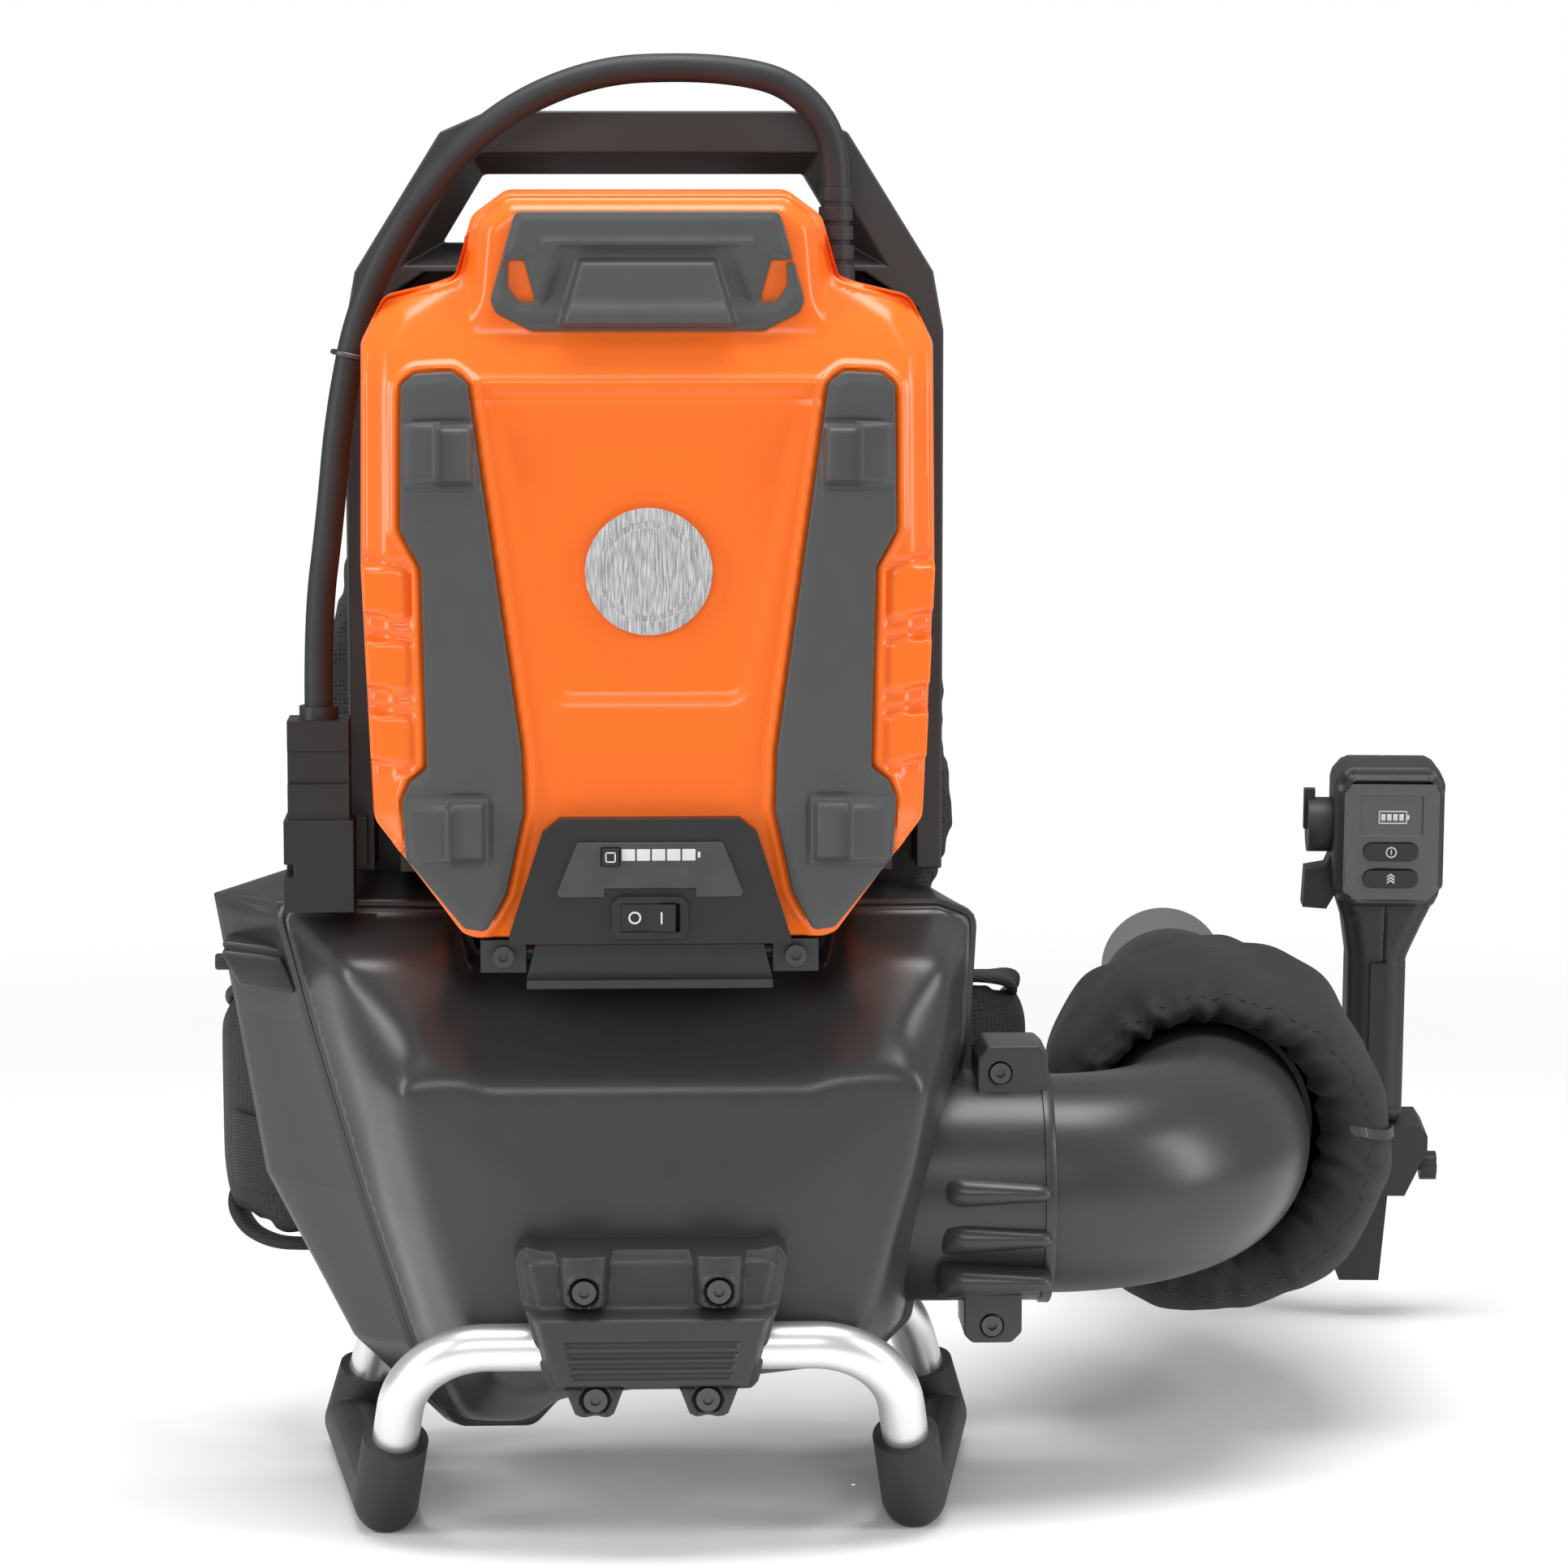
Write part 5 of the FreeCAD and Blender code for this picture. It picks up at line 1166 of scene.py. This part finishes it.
# ---------------------------------------------------------------- handset
@dataclass
class Handset:
    """Grip with its display head, in two moulded halves, and the marks on its buttons.

    Attributes:
        middle: where the halves meet, along the hose.
        groove: where a shallow groove runs up the head, to the right.
        outline: edge of both halves, as (right, up).
        window: edge of the ridge round the display.
    """

    middle: float = 277.0
    groove: float = 115.0
    outline: tuple = ((96, -64), (96, 30), (93, 50), (86, 72), (86, 130), (93, 138.4), (140, 138.4),
                      (146.3, 130), (146.3, 72), (136, 50), (128, 30), (128, -64))
    window: tuple = ((95, 133), (139, 133), (144, 125), (143.5, 70), (137, 63), (97, 63), (90.5, 70),
                     (90, 125))

    def front(self, u: np.ndarray, w: np.ndarray, inside: np.ndarray) -> np.ndarray:
        """Depth of the front half along the hose."""
        stem_face, ridge = 258.6, 4.9
        s = stem_face - 2.6 * soft(w, 34, 56) + 3.0 * (1 - soft(inside, 2, 12)) ** 2
        frame = within(u, w, self.window, 5)
        s = s - ridge * soft(frame, -2.2, 0.6) * (1 - soft(frame, 1.6, 3.0)) + 0.5 * soft(frame, 3.5, 5)
        s = s - 1.4 * bump(w, 57, 3.0) * soft(inside, 3, 8)
        strip_edge = np.maximum(np.abs(u - 119) - 5.5, np.abs(w + 14) - 42)
        s = s + 0.8 * bump(strip_edge, 0, 0.9)
        return s + 0.9 * bump(u, self.groove, 0.7) * (frame < -1.0)

    def back(self, u: np.ndarray, w: np.ndarray, inside: np.ndarray) -> np.ndarray:
        """Depth of the back half, as if it faced forwards."""
        groove = 0.9 * bump(u, self.groove, 0.7)
        return 258.4 - 1.0 * soft(w, 34, 56) + 4.0 * (1 - soft(inside, 2, 12)) ** 2 + groove

    def mark(self, shop: Workshop, name: str, shape: Shape, body: str) -> None:
        """Lays a printed mark on the head."""
        shop.piece(name, shape.moved(in_hose), PALE_INK, body, crease=60)

    def build(self, shop: Workshop) -> None:
        """Makes the two halves and the marks."""
        edge = rounded(self.outline, 6, 6)
        walls = [(270, 0.2), (276.7, 0.3), (self.middle, -0.6)]
        front = relief(edge, self.front, 4.5, walls, 1.0, 6)
        back = relief(edge, self.back, 4.5, walls, 1.25, 6)
        back = Shape(back.points * (1, -1, 1) + (0, 2 * self.middle, 0),
                     [tuple(reversed(f)) for f in back.faces])
        for name, half, node in (("grip_front", front, "grip_left"), ("grip_back", back, "grip_right")):
            shop.piece(name, half.moved(in_hose), GRIP_GREY, "handset", [node], "handset_plastic", 65)
        on_display, on_button = (253.15, 253.4), (250.3, 250.6)
        cells = Shape()
        for k in range(4):
            left = 111.2 + 3.3 * k
            cells.add(tile(left, left + 2.4, 109.2, 112.8, on_display))
        for sides in ((109.9, 125.4, 114.0, 114.6), (109.9, 125.4, 107.4, 108.0),
                      (109.9, 110.5, 107.4, 114.6), (124.8, 125.4, 107.4, 114.6),
                      (125.4, 126.6, 109.8, 112.2)):
            cells.add(tile(*sides, on_display))
        self.mark(shop, "display_cells", cells, "handset")
        power = flat_ring((117, 92), (3.0, 2.4), on_button)
        power.add(tile(116.7, 117.3, 90.6, 93.4, on_button))
        self.mark(shop, "power_mark", power, "power")
        boost = Shape()
        for k in range(3):
            foot = 74.4 + 1.7 * k
            chevron = [(114.9, foot), (117, foot + 1.5), (119.1, foot), (119.1, foot + 0.9),
                       (117, foot + 2.4), (114.9, foot + 0.9)]
            boost.add(prism(np.array(chevron), *on_button, 0.05))
        self.mark(shop, "boost_mark", boost, "boost")


# ---------------------------------------------------------------- harness
@dataclass(frozen=True)
class Pad:
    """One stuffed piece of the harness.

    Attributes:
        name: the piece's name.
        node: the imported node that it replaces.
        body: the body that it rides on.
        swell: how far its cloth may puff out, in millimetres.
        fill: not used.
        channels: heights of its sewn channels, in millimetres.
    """

    name: str
    node: str
    body: str
    swell: float
    fill: float
    channels: tuple = ()


@dataclass
class Harness:
    """Padded back panel, lumbar pad, shoulder straps and hip wings, with bindings and webbing.

    Attributes:
        pads: the stuffed pieces.
        rest: depth of the frame's back, which the pads stay behind.
        voxel: size of the cloth's mesh.
        last: the last frame of the simulation.
        left_wing: x, y, foot and top of the left hip wing along its length.
        right_wing: the same for the right.
    """

    pads: tuple = (Pad("back_panel", "back_pad", "chassis", 7, 0.7, (330, 390, 450, 510)),
                   Pad("lumbar_cushion", "lumbar_pad", "chassis", 7, 0.8, (182,)),
                   Pad("strap_left", "shoulder_strap_left", "chassis", 5, 0.7),
                   Pad("strap_right", "shoulder_strap_right", "chassis", 5, 0.7),
                   Pad("hip_pad_left", "hip_wing_left", "hip_left", 5, 0.7),
                   Pad("hip_pad_right", "hip_wing_right", "hip_right", 5, 0.7))
    rest: float = 62.6
    voxel: float = 4.6
    last: int = 20
    left_wing: tuple = ((-70, 87, 120, 232), (-128, 92, 106, 235), (-183, 98, 102, 235),
                        (-205, 122, 112, 228), (-204, 160, 126, 213))
    right_wing: tuple = ((70, 87, 120, 232), (126, 92, 106, 235), (168, 100, 102, 235), (186, 121, 112, 228),
                         (184, 156, 126, 213))

    def blank(self, shop: Workshop, pad: Pad) -> bpy.types.Object:
        """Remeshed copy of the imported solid, drawn in a little."""
        mesh = shop.nodes[pad.node].data.copy()
        mesh.transform(shop.nodes[pad.node].matrix_world)
        made = linked(pad.name, mesh)
        made.modifiers.new("weld", "WELD").merge_threshold = 0.2 * MM
        shrink = made.modifiers.new("draw", "DISPLACE")
        shrink.strength, shrink.mid_level = -1.6 * MM, 0.0
        remesh = made.modifiers.new("cloth", "REMESH")
        remesh.mode, remesh.voxel_size = "VOXEL", self.voxel * MM
        self.freeze(made)
        return made

    def freeze(self, made: bpy.types.Object) -> None:
        """Applies an object's modifiers to its mesh."""
        evaluated = made.evaluated_get(bpy.context.evaluated_depsgraph_get())
        mesh = bpy.data.meshes.new_from_object(evaluated)
        made.modifiers.clear()
        made.data = mesh

    def puff(self, blanks: Sequence[bpy.types.Object]) -> None:
        """Runs the cloth of every pad at once and keeps its shape."""
        scene = bpy.context.scene
        before = []
        for made in blanks:
            before.append(np.array([v.co for v in made.data.vertices]))
            cloth = made.modifiers.new("puff", "CLOTH")
            cloth.settings.quality = 5
            cloth.settings.use_pressure = True
            cloth.settings.uniform_pressure_force = 4.0
            cloth.settings.effector_weights.gravity = 0.0
            cloth.settings.tension_stiffness = 20.0
            cloth.settings.bending_stiffness = 0.8
            cloth.point_cache.frame_start, cloth.point_cache.frame_end = 1, self.last
        for step in range(1, self.last + 1):
            scene.frame_set(step)
        depsgraph = bpy.context.evaluated_depsgraph_get()
        after = [np.array([v.co for v in made.evaluated_get(depsgraph).data.vertices])
                 for made in blanks]
        scene.frame_set(1)
        for made, pad, old, new in zip(blanks, self.pads, before, after):
            made.modifiers.clear()
            move = new - old
            size = np.linalg.norm(move, axis=1)[:, None]
            move *= np.minimum(1.0, pad.swell * MM / np.maximum(size, 1e-9))
            made.data.vertices.foreach_set("co", (old + move).ravel())

    def sew(self, made: bpy.types.Object, pad: Pad) -> None:
        """Smooths a pad, presses its channels in and keeps it off the frame."""
        smooth = made.modifiers.new("smooth", "SMOOTH")
        smooth.factor, smooth.iterations = 0.5, 4
        made.modifiers.new("divide", "SUBSURF").levels = 1
        self.freeze(made)
        spots = np.array([v.co for v in made.data.vertices])
        normals = np.array([v.normal for v in made.data.vertices])
        for z in pad.channels:
            pinch = bump(spots[:, 2], z * MM, 3.2 * MM) * 3.4 * MM
            spots -= normals * pinch[:, None] * (normals[:, 1:2] > 0.2)
        if pad.body == "chassis":
            spots[:, 1] = np.maximum(spots[:, 1], self.rest * MM)
        made.data.vertices.foreach_set("co", spots.ravel())
        made.data.polygons.foreach_set("use_smooth", [True] * len(made.data.polygons))
        made.data.update()

    def binding(self, shop: Workshop, name: str, stations: Sequence, body: str) -> None:
        """Tape sewn round the edge of a hip wing."""
        top = spline([(x, y, high) for x, y, low, high in stations], 40)
        foot = spline([(x, y, low) for x, y, low, high in stations], 40)
        tip = spline([top[-1], (top[-1] + foot[-1]) / 2 + (0, 5, 0), foot[-1]], 16)[1:-1]
        loop = spline(np.vstack([top, tip, foot[::-1]])[::3], 150)
        shop.piece(f"binding_{name}", strip(loop, (0.2, 1.0, 0.0), oval(15, 5.5, 3.0, 20)), WEBBING, body,
                   crease=70)

    def webbing(self, shop: Workshop, name: str, stations: Sequence, body: str, away: float) -> None:
        """Flat belt sewn along the outside of a hip wing."""
        line = spline([(x + away * 3, y - 10.5 + 3 * k, 0.5 * (low + high) - 22)
                       for k, (x, y, low, high) in enumerate(stations)], 60)
        shop.piece(f"belt_{name}", strip(line, (0, 0, 1), oval(38, 2.2, 5.0, 24)), WEBBING, body, crease=60)

    def build(self, shop: Workshop) -> None:
        """Makes the pads, then their tapes and belts."""
        blanks = [self.blank(shop, pad) for pad in self.pads]
        self.puff(blanks)
        for made, pad in zip(blanks, self.pads):
            self.sew(made, pad)
            made.data.materials.clear()
            made.data.materials.append(SPACER.material())
            shop.place(made, pad.body, [pad.node], "harness_fabric")
        for name, wing, away in (("left", self.left_wing, -1.0), ("right", self.right_wing, 1.0)):
            self.binding(shop, name, wing, f"hip_{name}")
            self.webbing(shop, name, wing, f"hip_{name}", away)


# ---------------------------------------------------------------- hose sleeve
@dataclass
class Sleeve:
    """Loose cloth sleeve gathered round the elbow and the tube, with the ribbed hose inside.

    Attributes:
        stations: place along the hose, radius, and shift right and up, from the hem to the tube.
        count: points round the sleeve.
        rows: points along it.
        hem_row: the row that the hem's stitches follow.
    """

    stations: tuple = ((9, 58, 1, 0), (1, 60, 2, 0), (-5, 65, 3, -1), (-6, 70, 5, -2), (-2, 76, 6, -5),
                       (10, 83, 8, -9), (32, 89.5, 8, -12), (62, 91, 8, -13), (100, 88, 8, -11),
                       (140, 79, 6, -8), (180, 66, 4, -4), (216, 52, 2, -1.5), (244, 42.5, 0, 0),
                       (256, 40.5, 0, 0), (262, 39.5, 0, 0))
    count: int = 288
    rows: int = 120
    hem_row: int = 13

    def surface(self) -> Shape:
        """Folded tube of cloth, in place."""
        rows = spline(self.stations, self.rows)
        a = np.linspace(0, 2 * math.pi, self.count, endpoint=False)
        rings = []
        for k, (s, radius, right, up) in enumerate(rows):
            t = k / (self.rows - 1)
            hem, end = math.exp(-((t - 0.06) / 0.10) ** 2), math.exp(-((1 - t) / 0.14) ** 2)
            belly = math.sin(math.pi * min(1.0, max(0.0, t))) ** 1.5
            tight = (1.5 * np.sin(23 * a + 1.1 * np.sin(3 * a)) + 1.1 * np.sin(37 * a + 2.0)) * hem
            tight += (1.6 * np.sin(17 * a + 0.6) + 0.9 * np.sin(29 * a)) * end
            broad = (3.0 * np.sin(5 * a + 5.0 * t + 0.9) * np.cos(2 * a - 3 * t)
                     + 2.2 * np.sin(8 * a - 9.0 * t + 0.4) * np.sin(3 * a + 1.0)
                     + 1.3 * np.sin(13 * a + 14 * t) * np.sin(2 * a + 7 * t)) * belly
            across = 1.6 * np.sin(s / 9.0 + 2.0 * np.sin(2 * a)) * belly * np.exp(-((t - 0.75) / 0.25) ** 2)
            r = radius + tight + broad + across
            wave = 2.4 * np.sin(4 * a + 0.5) * hem + 1.5 * np.sin(9 * a) * hem
            rings.append(np.stack([right + r * np.cos(a), s + wave, up + r * np.sin(a)], 1))
        return skin(rings, False, False).moved(in_hose)

    def stitches(self, body: np.ndarray) -> Shape:
        """Dashes of thread sewn round the hem of the sleeve's grid of points."""
        made = Shape()
        ring, ahead = body[self.hem_row], body[self.hem_row - 1]
        out = ring - ring.mean(0)
        out /= np.linalg.norm(out, axis=1)[:, None]
        front = np.array([-0.05, -0.99, -0.08])
        for k in range(0, self.count, 4):
            a, b = ring[k], ring[(k + 2) % self.count]
            lift = (out[k] * 0.6 + front * 0.8) * 0.7
            side = ahead[k] - a
            side *= 0.45 / max(np.linalg.norm(side), 1e-6)
            arch = (a + lift * 0.2, (a + b) / 2 + lift * 0.6, b + lift * 0.2)
            made.add(skin([np.array([p - side, p + lift * 0.9, p + side]) for p in arch]))
        return made

    def zip_teeth(self, body: np.ndarray) -> Shape:
        """Short zip that closes the hem at the right of the sleeve's grid of points."""
        made = Shape()
        for row in range(8, 26):
            spot = body[row, 4]
            out = spot - body[row].mean(0)
            out /= np.linalg.norm(out)
            side = body[row, 7] - spot
            side /= np.linalg.norm(side)
            ahead = body[row + 1, 4] - spot
            side, out = side * 2.6, out * 2.2
            made.add(skin([np.array([p - side, p - side + out, p + side + out, p + side])
                           for p in (spot, spot + ahead * 0.55)]))
        return made

    def bellows(self) -> Shape:
        """Ribbed hose that narrows from the elbow's bore to the tube's."""
        wide, narrow, taper_start, taper_end = 56.6, 38.8, 58, 138
        ribs = [(24, 53.5), (24, wide)]
        for k in range(24):
            s = 27 + 5.6 * k
            taper = min(max((s - taper_start) / (taper_end - taper_start), 0.0), 1.0)
            crest = wide - taper * (wide - narrow)
            ribs += [(s, crest - 1.6), (s + 1.4, crest), (s + 2.8, crest), (s + 4.2, crest - 1.6)]
        ribs += [(166, 37.5), (166, 35.2)]
        turn = np.linspace(0, 2 * math.pi, 72, endpoint=False)
        ring = np.stack([np.cos(turn), np.sin(turn)], 1)
        return skin([upright(ring * r, s) for s, r in ribs], False, False).moved(in_hose)

    def build(self, shop: Workshop) -> None:
        """Makes the sleeve, its stitches, its zip and the hose inside."""
        start, end = in_hose(np.array([(0, 20, 0), (0, 170, 0)], float)) * MM
        cloth = self.surface()
        body = cloth.points.reshape(self.rows, self.count, 3)
        sleeve = shop.piece("sleeve_cloth", cloth, NYLON, None, ["hose_sleeve"], "sleeve_fabric", 180)
        thread = shop.piece("sleeve_stitches", self.stitches(body), STITCH, None, crease=60)
        hose = shop.piece("ribbed_hose", self.bellows(), RUBBER, None, ["hose_bellows"], "rubber", 60)
        teeth = shop.piece("sleeve_zip", self.zip_teeth(body), SCREW_ZINC, None, crease=30)
        for made in (sleeve, thread, teeth, hose):
            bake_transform(made)


# ---------------------------------------------------------------- the lead
@dataclass
class Lead:
    """Battery lead from the boot on the raised top to the plug at the left.

    Attributes:
        diameter: its thickness.
        length: not used.
        route: points that it passes near, from the battery on.
    """

    diameter: float = 13.5
    length: float = 498.5
    route: tuple = ((90, -12, 630), (90, -12, 647), (83, -13, 663.5), (70.5, -14, 676), (54, -15.5, 683),
                    (22, -18, 686.5), (-24, -20.5, 684.5), (-70, -22.5, 664), (-107, -24, 625),
                    (-133, -26, 578), (-144, -27, 526), (-149, -26, 474), (-155.5, -20, 428),
                    (-155.5, -20, 386))

    def build(self, shop: Workshop) -> None:
        """Makes the lead as one smooth curve."""
        curve = bpy.data.curves.new("battery_lead", "CURVE")
        curve.dimensions = "3D"
        curve.bevel_depth = self.diameter / 2 * MM
        curve.bevel_resolution = 8
        curve.resolution_u = 24
        line = curve.splines.new("NURBS")
        line.points.add(len(self.route) - 1)
        for point, (x, y, z) in zip(line.points, self.route):
            point.co = (x * MM, y * MM, z * MM, 1.0)
        line.order_u = 3
        line.use_endpoint_u = True
        curve.materials.append(RUBBER.material())
        made = linked("battery_lead", curve)
        shop.place(made, "chassis", ["battery_cable"], "rubber")


# ---------------------------------------------------------------- the studio
@dataclass
class Studio:
    """Camera, pale floor and soft lights.

    Attributes:
        look_at: a point on the camera's axis, in metres.
        forward: the way the camera looks.
        distance: from the camera to look_at, in metres.
        lens: its focal length in millimetres.
        sky: light of the sky on the object; the camera sees it white.
    """

    look_at: tuple = (0.0661, 0.0, 0.345)
    forward: tuple = (0.0381, 0.9918, -0.1219)
    distance: float = 2.5
    lens: float = 119.4
    sky: float = 0.38

    def lamp(self, name: str, place: Sequence[float], aim: Sequence[float], size: tuple[float, float],
             power: float) -> None:
        """Adds one soft box aimed at a point."""
        light = bpy.data.lights.new(name, "AREA")
        light.shape = "RECTANGLE"
        light.size, light.size_y = size
        light.energy = power
        made = linked(name, light)
        made.location = place
        made.rotation_euler = (Vector(aim) - Vector(place)).to_track_quat("-Z", "Y").to_euler()

    def camera(self, scene: bpy.types.Scene) -> None:
        """Makes the camera."""
        data = bpy.data.cameras.new("camera")
        data.lens = self.lens
        data.sensor_width = 36.0
        data.clip_end = 100.0
        camera = linked("camera", data)
        forward = Vector(self.forward).normalized()
        camera.location = Vector(self.look_at) - forward * self.distance
        camera.rotation_euler = forward.to_track_quat("-Z", "Y").to_euler()
        scene.camera = camera

    def floor(self) -> None:
        """Makes a pale disc that fades into the background."""
        centre = 100
        ring = circle((0, 0, 0), (0, 0, 1), 1.0, 96)
        disc = skin([ring * (radius, radius, 0) + (centre, 0, -0.4) for radius in (1, 600, 1200, 1700, 2600)],
                    False, False)
        mesh = bpy.data.meshes.new("studio_floor")
        mesh.from_pydata((disc.points * MM).tolist(), [], disc.faces)
        bench = Bench.named("studio_floor")
        x, y = (bench.place().axis(k) for k in "XY")
        x = x - centre * MM
        far = (x * x + y * y).root()
        mesh.materials.append(bench.surface({
            "Base Color": bench.tint(bench.noise(3.0), (0.95, 0.95, 0.95), (0.97, 0.97, 0.97)),
            "Roughness": 0.9, "Specular IOR Level": 0.1, "Alpha": 1.0 - far.step(0.75, 1.9)}))
        linked("studio_floor", mesh)

    def backdrop(self) -> bpy.types.World:
        """Sky that lights evenly and that the camera sees as white."""
        bench = Bench(bpy.data.worlds.new("studio"))
        seen = bench.signal("ShaderNodeLightPath", "Is Camera Ray")
        glow = bench.signal("ShaderNodeMapRange", 0, None, {"Value": seen, "To Min": self.sky, "To Max": 1.0})
        sky = bench.node("ShaderNodeBackground", None, {"Color": (1.0, 1.0, 1.0, 1.0), "Strength": glow})
        bench.node("ShaderNodeOutputWorld", None, {"Surface": sky.outputs[0]})
        return bench.owner

    def build(self) -> None:
        """Makes the camera, the floor, the sky and the soft boxes."""
        scene = bpy.context.scene
        self.camera(scene)
        self.floor()
        scene.world = self.backdrop()
        scene.view_settings.view_transform = "Standard"
        self.lamp("top", (0.1, -0.1, 2.4), (0.1, 0, 0.3), (1.8, 1.0), 46.0)
        self.lamp("left", (-2.0, -0.9, 1.0), (0.0, 0, 0.35), (0.5, 1.8), 24.0)
        self.lamp("front", (-0.4, -2.6, 1.5), (0.05, 0, 0.3), (1.4, 0.8), 16.0)
        self.lamp("right", (2.2, -0.9, 1.1), (0.1, 0, 0.35), (0.5, 1.8), 24.0)


PARTS: tuple[type, ...] = (Battery, Casing, Sleeve, Handset, FrontBracket, Harness)


def main() -> None:
    """Builds the blower's looks piece by piece and reports them."""
    logging.basicConfig(level=logging.INFO, format="%(message)s")
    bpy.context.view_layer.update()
    shop = Workshop(frame)
    Lead().build(shop)
    dress_structure(shop)
    for part in PARTS:
        part().build(shop)
    Studio().build()
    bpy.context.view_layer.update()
    for name in shop.made:
        log.info("piece %s", name)


if __name__ == "__main__":
    main()
